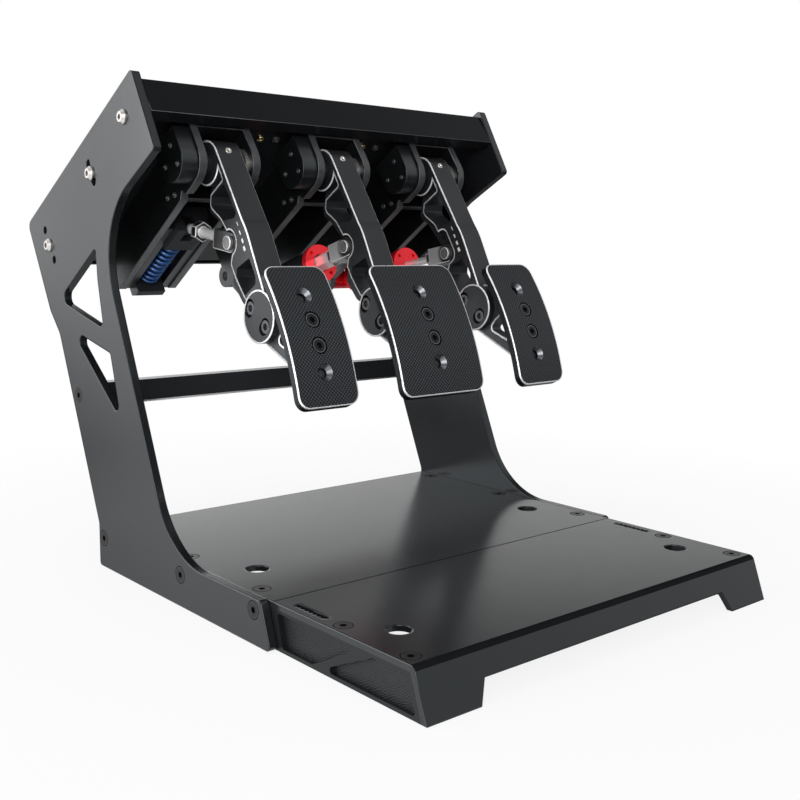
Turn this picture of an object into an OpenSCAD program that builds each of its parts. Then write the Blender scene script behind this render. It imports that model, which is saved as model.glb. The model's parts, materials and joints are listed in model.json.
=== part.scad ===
// Hanging three-pedal set for a driving simulator: two side plates carry a tilted deck,
// and clutch, brake and throttle modules hang from the deck above a flat base.
// Frame: origin on the floor under the middle of the set, +X to the driver's right,
// +Y away from the driver, +Z up. Millimetres and degrees.

/* [Stand] */
// Width across the outer faces of the side plates
stand_w = 336; // [316:1:360]
// Height from the floor to the top corner of the side plates
stand_h = 360; // [352:1:372]
// Thickness of each side plate
plate_t = 6; // [5:0.5:8]
// Rear end of the side plates' feet, behind the centre
foot_rear = 126.5; // [122:0.5:132]
// Front end of the side plates' feet, ahead of the centre
foot_front = 105; // [101:0.5:112]
// Where the legs' front edge meets the base, behind the centre
leg_front = 17; // [12:0.5:22]
// Backward lean of the legs from upright
leg_lean = 23.5; // [22.5:0.25:24.5]
// Height of the cross bar's screws above the floor
bar_z = 127.6; // [124:0.5:132]
// Height of the cross bar itself
bar_h = 18; // [15:0.5:21]
// Top corner of the side plates, behind the centre
head_back = 59.4; // [56:0.2:63]
// Slope of the side plates' top edge
head_tilt = 29.5; // [28.5:0.25:30.5]
// Length of the side plates' top edge
head_len = 210; // [202:1:218]
// Length of the side plates' front edge at the top
head_front = 62; // [58:0.5:66]
// Length of the side plates' rear edge at the top
head_rear = 78; // [75:0.5:82]

/* [Base] */
// Height of the base's top surface
base_h = 30; // [27:0.5:33]
// Thickness of the base plate and the heel plate
sheet_t = 4; // [3:0.5:5]
// Width of each base rail
rail_w = 17; // [15:0.5:20]
// Rear edge of the base plate, behind the centre
base_rear = 124; // [118:0.5:126]
// Joint between base plate and heel plate, ahead of the centre
base_split = 98.8; // [95:0.2:102]
// Foot of the front lip, ahead of the centre
lip_front = 240; // [236:0.5:246]
// How far the foot of the lip stands ahead of its top edge
lip_rake = 11; // [8:0.5:14]
// Width of the gap under the lip, at its top
lip_gap_w = 230; // [200:1:250]
// Height of the gap under the lip
lip_gap_h = 13.5; // [10:0.5:17]
// Diameter of the four rig holes
rig_hole_d = 16; // [12:0.5:19]
// Distance between the rig holes across the set
rig_hole_w = 266; // [240:1:268]
// Front row of rig holes, ahead of the centre
rig_front = 183.3; // [178:0.1:188]
// Rear row of rig holes, ahead of the centre
rig_rear = 37.8; // [32:0.1:44]

/* [Deck] */
// Slope of the deck
deck_tilt = 34.4; // [33:0.2:36]
// Front bolt of the deck, behind the side plates' top corner
deck_back = 12.3; // [10:0.1:15]
// Front bolt of the deck, below the top of the side plates
deck_drop = 29.8; // [28:0.1:32]
// Thickness of the deck
deck_t = 10; // [9:0.5:12]
// Distance from the front bolt to the rear end of the deck
deck_len = 172; // [168:1:174]
// Distance from the front bolt to the bolt in the curved slot
slot_bolt = 64; // [62:0.5:66]
// Distance from the front bolt to the rear bolt
rear_bolt = 157.5; // [155:0.5:160]
// Sheet thickness of the top cover
cover_t = 2; // [1.5:0.1:2.5]

/* [Modules] */
// Distance between neighbouring pedals
pedal_gap = 102; // [98:0.5:106]
// Width across the walls of a bracket
bracket_w = 50; // [48:0.5:53]
// Thickness of a bracket's walls
wall_t = 6; // [5:0.25:7]
// Pivot of the arms behind the deck's front bolt
pivot_back = 4; // [3:0.1:5]
// Pivot of the arms below the deck's middle plane
pivot_drop = 32; // [31:0.1:33.5]
// Radius of the bracket's ears round the pivot
ear_r = 16.5; // [15.5:0.1:17.5]
// Lower edge of the bracket's walls below the deck's middle plane
wall_drop = 47.5; // [46.5:0.1:49]
// Rear end of the bracket's walls behind the deck's front bolt
wall_len = 149; // [147:0.5:152]
// Width of a sensor hood
hood_w = 13; // [10:0.5:16]
// Diameter of the axles
axle_d = 10; // [9:0.1:11]
// Outside diameter of the pivot bearings
bearing_d = 19; // [18:0.1:20]

/* [Arms] */
// Thickness of the arms
arm_t = 20; // [19:0.25:21]
// Lean of the arms ahead of square to the deck, at rest
arm_lean = 2.3; // [1:0.1:3]
// Front of the arms at their knee, ahead of the pivot
knee_front = 19.2; // [18.2:0.1:20.2]
// Knee of the arms below the pivot
knee_down = 65; // [60:0.5:70]
// Radius of the arms' hub
hub_r = 16; // [15:0.1:16.2]
// Reach of the tongue behind the arms, from the pivot
tongue_back = 22; // [20:0.1:22.5]
// Centre of the end discs below the pivot
disc_down = 124.5; // [122:0.5:127]
// Radius of the end discs
disc_r = 18.5; // [18:0.1:20]
// Thickness of the tongue that carries the clevis pin
tongue_t = 9.4; // [9:0.1:9.8]
// Clutch clevis pin below the pivot
clutch_pin_down = 62.6; // [61:0.1:64]
// Brake clevis pin below the pivot
brake_pin_down = 65.2; // [64:0.1:67]
// Throttle clevis pin below the pivot
throttle_pin_down = 71; // [69:0.1:72]
// Clevis pins behind the pivot
pin_back = 4.8; // [4.4:0.1:5.2]
// Diameter of the clevis pins
pin_d = 6; // [5.5:0.1:6.5]

/* [Pads] */
// Width of the clutch pad and the throttle pad
side_pad_w = 48; // [44:0.5:54]
// Width of the brake pad
brake_pad_w = 77; // [68:0.5:84]
// Length of a pad along its curve
pad_len = 99; // [95:0.5:103]
// Thickness of a pad
pad_t = 6; // [5:0.25:7]
// Radius of a pad's front face
pad_r = 210; // [200:1:220]
// Height of the pads' most forward line, below the pivot
pad_down = 136; // [134:0.5:138]
// Front face of the pads, ahead of the pivot
pad_front = 41.8; // [40.5:0.1:43]
// Distance between the holes of a pad
pad_pitch = 18.1; // [17:0.1:19]

/* [Linkage] */
// Clutch carriage pin behind the deck's front bolt
slide_back = 69; // [67:0.5:71]
// Clutch carriage pin below the deck's middle plane
slide_drop = 42; // [41:0.25:43]
// Width of each clutch guide rail
guide_w = 7; // [6:0.25:7.5]
// Diameter of the clutch rod and of the other rods' threads
rod_d = 8; // [7:0.1:8.5]
// Centre line of the clutch spring below the deck's middle plane
spring_drop = 40; // [39:0.25:41]
// Mean diameter of the coil springs
spring_d = 14; // [13:0.25:14.5]
// Wire diameter of the coil springs
wire_d = 2.8; // [2.2:0.1:3]
// Rear eye of the brake strut behind the deck's front bolt
brake_eye_back = 126; // [124:0.5:128]
// Rear eye of the brake strut below the deck's middle plane
brake_eye_drop = 61; // [60:0.25:63]
// Rear eye of the throttle strut behind the deck's front bolt
throttle_eye_back = 147; // [145:0.5:149]
// Rear eye of the throttle strut below the deck's middle plane
throttle_eye_drop = 43; // [41:0.25:45]
// Outside diameter of the strut barrels
barrel_d = 26; // [25:0.25:28]
// Inside diameter of the strut barrels
barrel_bore = 21; // [20.5:0.1:22]
// Diameter of the red preload rings
ring_d = 30; // [28:0.5:32]
// Width across the flats of the brake rod
brake_rod_w = 12; // [11:0.25:13]
// Diameter of the throttle rod
throttle_rod_d = 6; // [5:0.1:7]

/* [Clearances] */
// Gap between pieces that move past each other
side_gap = 0.3; // [0.3:0.05:0.4]
// Radial gap of a shaft in its bore
run_gap = 0.05; // [0.03:0.01:0.08]
// Radial gap round the shank of a screw
screw_gap = 0.2; // [0.1:0.05:0.3]
// Radial play of a clevis on its pin
pin_play = 0.8; // [0.7:0.05:0.9]

/* [Hidden] */
$fn = 48;
inner_x = stand_w / 2 - plate_t;
wall_out = bracket_w / 2;
wall_in = wall_out - wall_t;
deck_y = head_back + deck_back;
deck_z = stand_h - deck_drop;
deck_under = -deck_t / 2;
floor_t = 8;
bracket_under = deck_under - floor_t;
head_r = 6;
edge_r = 3;
leg_heel = 32.6;
leg_top = 173;
screw_d = 6;
screw_head_d = 11.6;
screw_cone = 2.8;
side_screw_y = [119, 4, -86];
side_screw_z = base_h - 7.7;
base_screw_y = [103, 14.6, -74];
heel_screw_y = [-158, -217];
rail_mid_x = inner_x - rail_w / 2;
bar_y = foot_rear + (bar_z - leg_heel) * tan(leg_lean) - 11.3;
bar_t = 12;
tilt_step = 5;
slot_swing = 7;
slot_round = 22.5;
module_bolt_x = 12;
module_bolt_u = [44, 128];
hub_boss_r = 8;
bearing_flange = 3;
clevis_w = arm_t - 1.2;
clevis_r = 7;
clevis_end = 22;
clevis_mouth = 11;
scallop_r = 8.8;
pin_eye_r = clevis_r + 0.4;
spare_pin_up = 15;
spare_pin_d = 4.4;
neck_w = 4.5;
disc_proud = 0.8;
lip_bend = 4;
pin_head_d = 9.6;
pin_head_t = 2.5;
disc_back = -1;
carrier_t = 10;
carrier_r = disc_r - 1;
carrier_plate_t = 5;
bolt_a = [5.8, -114.2];
bolt_b = [-3.3, -133.6];
bolt_head_d = 9;
bolt_head_t = 4;
bolt_slide = 2;
pad_axis = [pad_r - pad_front, -pad_down];
pad_span = pad_len / pad_r * 180 / PI;
pad_mid = 5.95;
pad_step = pad_pitch / pad_r * 180 / PI;
pad_corner = 8;
pad_sink = 0.4;
guide_in = wall_in - guide_w;
guide_front = 66;
guide_top = 38;
guide_low = 46;
carriage_front = slide_back - 7;
carriage_rear = slide_back + 19;
carriage_top = slide_drop - 14;
carriage_low = slide_drop + 8;
carriage_eye_r = 6;
carriage_eye_t = 8;
end_front = 143;
end_t = 5;
end_low = carriage_low + 3;
spigot_len = 27;
spigot_d = 9;
nut_t = 6.5;
nut_w = 13;
ring_t = 5;
brake_ring = 46;
throttle_ring = 60.5;
brake_piston = 60;
throttle_piston = 66;
piston_t = 5;
barrel_back = 14;
barrel_end_t = 5;
eye_d = 16;
strut_pin_d = 8;
lug_r = 9.5;
lug_w = 20;
spare_eye_at = [149, -36];
stack_count = 3;
curls = 8;

function unit(v) = v / norm(v);
function round_corner(p, q, s, r) =
    let (d = unit(p - q), e = unit(s - q), half = acos(d * e) / 2,
         c = q + unit(d + e) * r / sin(half),
         a = atan2(q.y + d.y * r / tan(half) - c.y, q.x + d.x * r / tan(half) - c.x),
         b = atan2(q.y + e.y * r / tan(half) - c.y, q.x + e.x * r / tan(half) - c.x),
         turn = b - a > 180 ? b - a - 360 : (b - a < -180 ? b - a + 360 : b - a),
         n = max(2, ceil(abs(turn) * sqrt(r) / 24)))
    [for (i = [0 : n]) c + r * [cos(a + turn * i / n), sin(a + turn * i / n)]];
function flat(p) = [p[0], p[1]];
// Outline of points [x, y, corner radius], with each corner rounded
function rounded(pts) =
    [for (i = [0 : len(pts) - 1])
        each (pts[i][2] > 0
            ? round_corner(flat(pts[(i + len(pts) - 1) % len(pts)]), flat(pts[i]),
                           flat(pts[(i + 1) % len(pts)]), pts[i][2])
            : [flat(pts[i])])];

function leg_fore(z) = leg_front + (z - base_h) * tan(leg_lean);
function leg_aft(z) = foot_rear + (z - leg_heel) * tan(leg_lean);
head_along = [cos(head_tilt), -sin(head_tilt)];
head_down = [-sin(head_tilt), -cos(head_tilt)];
top_corner = [head_back, stand_h + edge_r * (sin(head_tilt) + cos(head_tilt) - 1)];
rear_corner = top_corner + head_len * head_along;
jog_corner = rear_corner + head_rear * head_down;
brow = top_corner + head_front * head_down;
leg_up = [sin(leg_lean), cos(leg_lean)];
// Where the head's lower edge would meet the legs' front edge
armpit = let (w = brow - [leg_front, base_h])
    [leg_front, base_h] + leg_up * (w.x * head_along.y - w.y * head_along.x)
        / (leg_up.x * head_along.y - leg_up.y * head_along.x);
plate_pts = rounded([
    [foot_rear, 0, edge_r], [foot_rear, leg_heel, edge_r], [leg_aft(leg_top), leg_top, 20],
    [jog_corner.x, jog_corner.y, edge_r], [rear_corner.x, rear_corner.y, head_r],
    [top_corner.x, top_corner.y, edge_r], [brow.x, brow.y, edge_r], [armpit.x, armpit.y, 60],
    [leg_front, base_h, 66], [edge_r - foot_front + 8, base_h, edge_r], [-foot_front, 0, edge_r]]);
window_up = rounded([
    [leg_aft(200) - 13, 199.5, 6], [armpit.x + 4, armpit.y - 16.5, 3],
    [armpit.x + 2.5, armpit.y - 39, 60], [leg_fore(183) + 27, 182, 4]]);
window_low = rounded([
    [leg_aft(179) - 23, 178.5, 5], [leg_fore(165) + 25, 165, 3], [leg_fore(117) + 31.5, 117, 4]]);

function arm_place(down, back) =
    [pivot_back + back * cos(arm_lean) + down * sin(arm_lean),
     back * sin(arm_lean) - down * cos(arm_lean) - pivot_drop];
function aim(p, q) = atan2(q.y - p.y, q.x - p.x);
clutch_pin_at = arm_place(clutch_pin_down, pin_back);
brake_pin_at = arm_place(brake_pin_down, pin_back);
throttle_pin_at = arm_place(throttle_pin_down, pin_back);
slide_at = [slide_back, -slide_drop];
brake_eye_at = [brake_eye_back, -brake_eye_drop];
throttle_eye_at = [throttle_eye_back, -throttle_eye_drop];
clutch_rod_len = norm(slide_at - clutch_pin_at);
brake_len = norm(brake_eye_at - brake_pin_at);
throttle_len = norm(throttle_eye_at - throttle_pin_at);
// A point of the pad's curve: radius from its axis and angle below its most forward line
function pad_at(r, angle) = pad_axis - r * [cos(angle), sin(angle)];

// Coil spring along +y: a straight end, a bend, the curls, a bend and a straight end
function spring_path(length, turns) =
    let (r = spring_d / 2, bend = wire_d,
         rise = length - 2 * wire_d - 2 * bend,
         slope = atan(rise / (PI * spring_d * turns)),
         side = bend * (1 - sin(slope)) / (PI * spring_d) * 360,
         steps = turns * 8,
         lift = (length - 2 * wire_d - 2 * bend * cos(slope)) / steps,
         turned = turns * 360 + 2 * side)
    concat(
        [[0, 0, 90]],
        [for (i = [0 : 3]) let (s = 90 + (slope - 90) * i / 4)
            [wire_d + bend * cos(s), bend * (1 - sin(s)) / (PI * spring_d) * 360, s]],
        [for (i = [0 : steps]) [wire_d + bend * cos(slope) + lift * i, side + turns * 360 * i / steps, slope]],
        [for (i = [1 : 4]) let (s = slope + (90 - slope) * i / 4)
            [length - wire_d - bend * cos(s), turned - bend * (1 - sin(s)) / (PI * spring_d) * 360, s]],
        [[length, turned, 90]]);
function spring_spot(p) = [spring_d / 2 * cos(p[1]), p[0], spring_d / 2 * sin(p[1])];
function spring_ring(p) =
    let (out = [cos(p[1]), 0, sin(p[1])], round = [-sin(p[1]), 0, cos(p[1])],
         across = round * sin(p[2]) - [0, 1, 0] * cos(p[2]))
    [for (k = [0 : 5]) spring_spot(p) + wire_d / 2 * (out * cos(60 * k) + across * sin(60 * k))];
function spring_least(path) =
    min([for (i = [0 : len(path) - 7]) for (j = [i + 6 : len(path) - 1])
        norm(spring_spot(path[i]) - spring_spot(path[j]))]) - wire_d;

module coil(length, turns) {
    path = spring_path(length, turns);
    echo(least_gap = spring_least(path));
    last = len(path) - 1;
    polyhedron(
        points = [for (p = path) each spring_ring(p)],
        faces = concat(
            [for (k = [1 : 4]) [0, k, k + 1]],
            [for (i = [0 : last - 1]) for (k = [0 : 5])
                each [[6 * i + k, 6 * i + 6 + k, 6 * i + (k + 1) % 6],
                      [6 * i + (k + 1) % 6, 6 * i + 6 + k, 6 * i + 6 + (k + 1) % 6]]],
            [for (k = [1 : 4]) [6 * last, 6 * last + k + 1, 6 * last + k]]));
}

module slab(x0, x1) translate([x0, 0, 0]) rotate([90, 0, 90]) linear_extrude(x1 - x0) children();
module bar_x(x0, x1, d) translate([x0, 0, 0]) rotate([0, 90, 0]) cylinder(h = x1 - x0, d = d);
module bar_y(y0, y1, d) translate([0, y0, 0]) rotate([-90, 0, 0]) cylinder(h = y1 - y0, d = d);
module hex_y(y0, y1, w) translate([0, y0, 0]) rotate([-90, 30, 0]) cylinder(h = y1 - y0, d = w / cos(30), $fn = 6);
module block(x, y0, y1, z0, z1) translate([-x, y0, z0]) cube([2 * x, y1 - y0, z1 - z0]);
module both_sides() {
    children();
    mirror([1, 0, 0]) children();
}
module in_deck() translate([0, deck_y, deck_z]) rotate([-deck_tilt, 0, 0]) children();
module at_pedal(x) in_deck() translate([x, 0, 0]) children();
module in_arm(x) at_pedal(x) translate([0, pivot_back, -pivot_drop]) rotate([arm_lean, 0, 0]) children();
// Frame at a clevis pin, with +y towards the rear end of its rod
module along(x, p, q) at_pedal(x) translate([0, p.x, p.y]) rotate([aim(p, q), 0, 0]) children();

// Countersunk screw pointing down -x, its head flush with x = 0
module sunk_screw(length, play = 0) {
    rotate([0, -90, 0]) cylinder(h = length + play, d = screw_d + 2 * play);
    rotate([0, -90, 0]) cylinder(h = screw_cone + play, d1 = screw_head_d + 2 * play, d2 = screw_d + 2 * play);
}
module sunk_screw_cut(length) difference() {
    sunk_screw(length);
    translate([-2, 0, 0]) rotate([0, 90, 0]) cylinder(h = 3, d = 4.6, $fn = 6);
}
// Button-head screw pointing down -x, its head standing on x = 0
module button_screw(length) difference() {
    union() {
        bar_x(-length, 0.1, screw_d);
        rotate([0, 90, 0]) cylinder(h = 1.2, d = 10.5);
        translate([1.2, 0, 0]) rotate([0, 90, 0]) cylinder(h = 2, d1 = 10.5, d2 = 7);
    }
    translate([1.2, 0, 0]) rotate([0, 90, 0]) cylinder(h = 3, d = 4.6, $fn = 6);
}

module at_side_screws() {
    for (y = side_screw_y) translate([stand_w / 2, y, side_screw_z]) children();
    translate([stand_w / 2, bar_y, bar_z]) children();
}
module at_base_screws(places) for (y = places) translate([rail_mid_x, y, base_h]) rotate([0, -90, 0]) children();
module at_deck_bolts() in_deck() for (u = [0, slot_bolt, rear_bolt]) translate([stand_w / 2, u, 0]) children();
module at_module_bolts() for (x = [-1, 0, 1]) for (s = [-1, 1]) for (u = module_bolt_u)
    in_deck() translate([x * pedal_gap + s * module_bolt_x, u, deck_t / 2]) rotate([0, -90, 0]) children();

function arc(c, r, from, to) = [for (i = [0 : 6]) let (a = from + (to - from) * i / 6) c + r * [cos(a), sin(a)]];
function slot_end(a) = slot_bolt * [cos(a), sin(a)];
// Slot of width w on a circle round the front bolt, with round ends
module curved_slot(w) rotate(-deck_tilt) polygon(concat(
    arc([0, 0], slot_bolt + w / 2, -slot_swing, slot_swing),
    arc(slot_end(slot_swing), w / 2, slot_swing + slot_round, slot_swing + 180 - slot_round),
    arc([0, 0], slot_bolt - w / 2, slot_swing, -slot_swing),
    arc(slot_end(-slot_swing), w / 2, 180 + slot_round - slot_swing, 360 - slot_round - slot_swing)));

module plate_right() difference() {
    slab(inner_x, stand_w / 2) difference() {
        polygon(plate_pts);
        polygon(window_up);
        polygon(window_low);
        translate([deck_y, deck_z]) {
            circle(d = screw_d + 2 * screw_gap);
            curved_slot(screw_d + 2 * screw_gap);
            for (s = [-1, 0, 1]) rotate(s * tilt_step - deck_tilt) translate([rear_bolt, 0])
                circle(d = screw_d + 2 * screw_gap);
        }
    }
    at_side_screws() sunk_screw(20, screw_gap);
}
module side_plate_left() color([0.09, 0.09, 0.1]) mirror([1, 0, 0]) plate_right();
module side_plate_right() color([0.09, 0.09, 0.1]) plate_right();

module rig_hole(y) both_sides() translate([rig_hole_w / 2, y, 0]) cylinder(h = 2 * base_h, d = rig_hole_d);
module base_plate() color([0.1, 0.1, 0.11]) difference() {
    block(inner_x, 0.2 - base_split, base_rear, base_h - sheet_t, base_h);
    rig_hole(-rig_rear);
    both_sides() at_base_screws(base_screw_y) sunk_screw(18, screw_gap);
}
lip_top = lip_front - lip_rake;
lip_thick = sheet_t * norm([lip_rake, base_h]) / base_h;
rail_top = base_h - sheet_t;
rail_front = lip_top + lip_rake * sheet_t / base_h - lip_thick;
tooth_y = [-141, -137, -133, -129, -125, -121, -117];
module heel_plate() color([0.1, 0.1, 0.11]) difference() {
    slab(-inner_x, inner_x) polygon(rounded([
        [-base_split, base_h, 0], [-lip_top, base_h, lip_bend], [-lip_front, 0, 0], [lip_thick - lip_front, 0, 0],
        [-rail_front, rail_top, 0], [-base_split, rail_top, 0]]));
    rig_hole(-rig_front);
    both_sides() at_base_screws(heel_screw_y) sunk_screw(18, screw_gap);
    both_sides() translate([rail_mid_x, 0, 0]) {
        translate([-2, -144, rail_top - 1]) cube([4, 32, sheet_t + 2]);
        for (y = tooth_y) translate([2, y, rail_top - 1]) cylinder(h = sheet_t + 2, d = 2.8, $fn = 16);
    }
    translate([0, -lip_top, 0]) rotate([90, 0, 0]) linear_extrude(2 * lip_rake, center = true) polygon([
        [-lip_gap_w / 2 - 7, -1], [-lip_gap_w / 2, lip_gap_h], [lip_gap_w / 2, lip_gap_h], [lip_gap_w / 2 + 7, -1]]);
}
pocket_depth = 3;
module rail_right() difference() {
    slab(inner_x - rail_w, inner_x) polygon([
        [base_rear, 0], [base_rear, rail_top], [-rail_front, rail_top], [lip_thick - lip_front, 0]]);
    slab(inner_x - pocket_depth, inner_x + 1) {
        polygon(rounded([
            [-103, rail_top - 2, 2], [-176, rail_top - 2, 2], [-173, rail_top - 6, 2], [-139.5, 2.5, 3], [-109, 2.5, 2]]));
        polygon(rounded([
            [-156, 6, 2], [-194.5, rail_top - 2, 2], [4 - rail_front, rail_top - 2, 2],
            [lip_thick + 4.5 - lip_front, 2.5, 2], [-157, 2.5, 1.5]]));
    }
    at_side_screws() sunk_screw(20, screw_gap);
    at_base_screws(concat(base_screw_y, heel_screw_y)) sunk_screw(18, screw_gap);
}
module base_rail_left() color([0.12, 0.12, 0.13]) mirror([1, 0, 0]) rail_right();
module base_rail_right() color([0.12, 0.12, 0.13]) rail_right();
module cross_bar() color([0.1, 0.1, 0.11]) difference() {
    block(inner_x, bar_y - bar_t / 2, bar_y + bar_t / 2, bar_z - bar_h / 2, bar_z + bar_h / 2);
    both_sides() at_side_screws() sunk_screw(20, screw_gap);
}
module frame_screws() color([0.05, 0.05, 0.05]) both_sides() {
    at_side_screws() sunk_screw_cut(20);
    at_base_screws(concat(base_screw_y, heel_screw_y)) sunk_screw_cut(18);
}

cover_front = 25;
cover_rear = deck_len + 4;
cover_top = deck_t / 2 + 8;
cover_low = -13.6;
cover_post_x = [42, 56];
cover_post_u = [4, 150];
module top_cover() color([0.1, 0.1, 0.11]) in_deck() {
    slab(side_gap - inner_x, inner_x - side_gap) polygon([
        [-cover_front, cover_top], [cover_rear + cover_t, cover_top], [cover_rear + cover_t, deck_under],
        [cover_rear, deck_under], [cover_rear, cover_top - cover_t], [cover_t - cover_front, cover_top - cover_t],
        [cover_t - cover_front, cover_low + cover_t], [10 - cover_front, cover_low + cover_t],
        [10 - cover_front, cover_low], [-cover_front, cover_low]]);
    both_sides() for (x = cover_post_x) for (u = cover_post_u) translate([x, u, deck_t / 2]) difference() {
        cylinder(h = cover_top - cover_t / 2 - deck_t / 2, d = 9);
        translate([0, 0, -1]) cylinder(h = 6, d = 4);
    }
}
module pedal_deck() color([0.1, 0.1, 0.11]) difference() {
    in_deck() block(inner_x, -ear_r, deck_len, deck_under, deck_t / 2);
    both_sides() at_deck_bolts() bar_x(-21, 1, screw_d + 2 * screw_gap);
    at_module_bolts() bar_x(-30, 1, screw_d + 2 * screw_gap);
    both_sides() for (x = cover_post_x) for (u = cover_post_u) in_deck() translate([x, u, -deck_t])
        cylinder(h = 2 * deck_t, d = 4);
}
module deck_bolts() color([0.75, 0.76, 0.78]) {
    both_sides() at_deck_bolts() button_screw(20);
    at_module_bolts() button_screw(deck_t + floor_t - 1);
}

wall_pts = rounded([
    [pivot_back - ear_r, deck_under, 0], [pivot_back - ear_r, -pivot_drop - ear_r, ear_r - 0.1],
    [pivot_back + ear_r, -pivot_drop - ear_r, 4], [pivot_back + ear_r + 1.5, -pivot_drop - 10, 1.5],
    [pivot_back + ear_r + 7.5, -wall_drop, 1.5], [wall_len, -wall_drop, 2], [wall_len, deck_under, 0]]);
bulkhead_u = pivot_back + ear_r + 7.5;
// Lug that hangs from a wall round a low eye
module low_lug(eye) polygon(rounded([
    [eye.x - lug_w, 2 - wall_drop, 0], [eye.x + 1 - lug_r, eye.y - lug_r, lug_r - 1.5],
    [eye.x + lug_r - 1, eye.y - lug_r, lug_r - 1.5], [eye.x + lug_w, 2 - wall_drop, 0]]));
// Bracket of one module: its walls have rear eyes at the given places, and a lug round a low one
module bracket(x, eyes, low) color([0.08, 0.08, 0.09]) difference() {
    at_pedal(x) {
        both_sides() slab(wall_in, wall_out) {
            polygon(wall_pts);
            for (eye = eyes) translate(eye) circle(r = lug_r);
            for (eye = low) low_lug(eye);
        }
        block(wall_in + 1, pivot_back - ear_r, wall_len, bracket_under, deck_under);
        block(wall_in + 1, bulkhead_u, bulkhead_u + 4, 2 - wall_drop, bracket_under + 1);
    }
    at_pedal(x) translate([0, pivot_back, -pivot_drop]) bar_x(-wall_out - 1, wall_out + 1, bearing_d + 2 * run_gap);
    for (eye = concat(eyes, low)) at_pedal(x) translate([0, eye.x, eye.y])
        bar_x(-wall_out - 1, wall_out + 1, strut_pin_d + 2 * run_gap);
    at_module_bolts() bar_x(-30, 1, screw_d + 2 * screw_gap);
}
module clutch_bracket() bracket(-pedal_gap, [], []);
module brake_bracket() bracket(0, [spare_eye_at], [brake_eye_at]);
module throttle_bracket() bracket(pedal_gap, [throttle_eye_at], []);
module strut_pins() color([0.6, 0.6, 0.62]) {
    at_pedal(0) translate([0, brake_eye_at.x, brake_eye_at.y]) bar_x(-wall_out, wall_out, strut_pin_d);
    at_pedal(pedal_gap) translate([0, throttle_eye_at.x, throttle_eye_at.y]) bar_x(-wall_out, wall_out, strut_pin_d);
}

hood_r = ear_r - 1.5;
hood_wall = 2;
function hood_pts(r, top) = rounded([
    [pivot_back - r, top, 0], [pivot_back - r, -pivot_drop - r, r - 0.1],
    [pivot_back + r, -pivot_drop - r, r - 0.1], [pivot_back + r, top, 0]]);
module hood(x) color([0.07, 0.07, 0.08]) at_pedal(x) difference() {
    slab(-wall_out - hood_w, -wall_out) polygon(hood_pts(hood_r, bracket_under));
    slab(hood_wall - wall_out - hood_w, 1 - wall_out) polygon(hood_pts(hood_r - hood_wall, bracket_under - hood_wall));
}
module clutch_sensor_hood() hood(-pedal_gap);
module brake_sensor_hood() hood(0);
module throttle_sensor_hood() hood(pedal_gap);

module pivot_bearings() color([0.75, 0.76, 0.78]) for (x = [-1, 0, 1])
    at_pedal(x * pedal_gap) translate([0, pivot_back, -pivot_drop]) both_sides() difference() {
        union() {
            bar_x(wall_in - 1, wall_out, bearing_d);
            bar_x(wall_in - bearing_flange, wall_in, bearing_d + 4);
        }
        bar_x(0, bracket_w, axle_d + 2 * run_gap);
    }
axle_left = wall_out + hood_w - hood_wall - 3;
module axle(x) color([0.7, 0.71, 0.73]) in_arm(x) {
    bar_x(-axle_left, wall_out + 1, axle_d);
    bar_x(wall_out + side_gap, wall_out + 3.3, axle_d + 5);
}
module clutch_axle() axle(-pedal_gap);
module brake_axle() axle(0);
module throttle_axle() axle(pedal_gap);

// Outline of an arm, y back and z up from the pivot, for a clevis pin at the given height below it
neck_back = neck_w - hub_r;
neck_turn = 180 - acos(-neck_back / hub_r);
brow_turn = 180 - atan2(knee_front - hub_r, knee_down);
function arm_pts(pin) = concat(
    [for (k = [0 : 30]) let (a = brow_turn - (brow_turn + neck_turn) * k / 30) hub_r * [cos(a), sin(a)]],
    rounded([
        [neck_back, -hub_r, 0], [neck_back, -21.6, 1.5], [7.2, -21.6, 3], [11.9, -27.5, 3], [11.4, -31.5, 4],
        [5.2, -43.5, 14], [2.6, 6 - pin, 0], [3.8, -pin - 7.5, 0], [6.2, -pin - 9.2, 1], [11, -pin - 13.5, 3],
        [11.1, -88.5, 8], [8.8, -104.3, 8], [4, 8 - disc_down, 0], [disc_back - 13.5, 8 - disc_down, 0],
        [-knee_front, -knee_down, 60]]));
arm_window_up = rounded([
    [-11.3, -24.6, 2], [-14.3, -50.2, 2], [-10, -52, 2.5], [3.2, -45.5, 3],
    [9.6, -31.8, 4], [10.2, -27.8, 2], [6.4, -23.4, 2]]);
arm_window_low = rounded([
    [-11.5, -84.6, 1.5], [5.8, -82.6, 1.5], [9.2, -87.5, 1.5], [7.3, -103.6, 1.5],
    [-8.8, -103.6, 2], [-11.5, -99.3, 2]]);
// Thinner tongue behind an arm, drawn in to the clevis pin's eye below its neck
function tongue_pts(pin, neck) = rounded([
    [-6, -9, 0], [9, -12, 0], [tongue_back, -26, 4], [16.1, -36.1, 9], [neck, 13.6 - pin, 3],
    [pin_back + 2, 5 - pin, 0], [pin_back + 4, -pin - 5, 0], [12, -pin - 9.5, 2],
    [tongue_back + 0.8, -max(84.5, pin + 15.5), 6], [19, -104, 8], [10, -112, 0], [-6, -112, 0]]);
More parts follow.
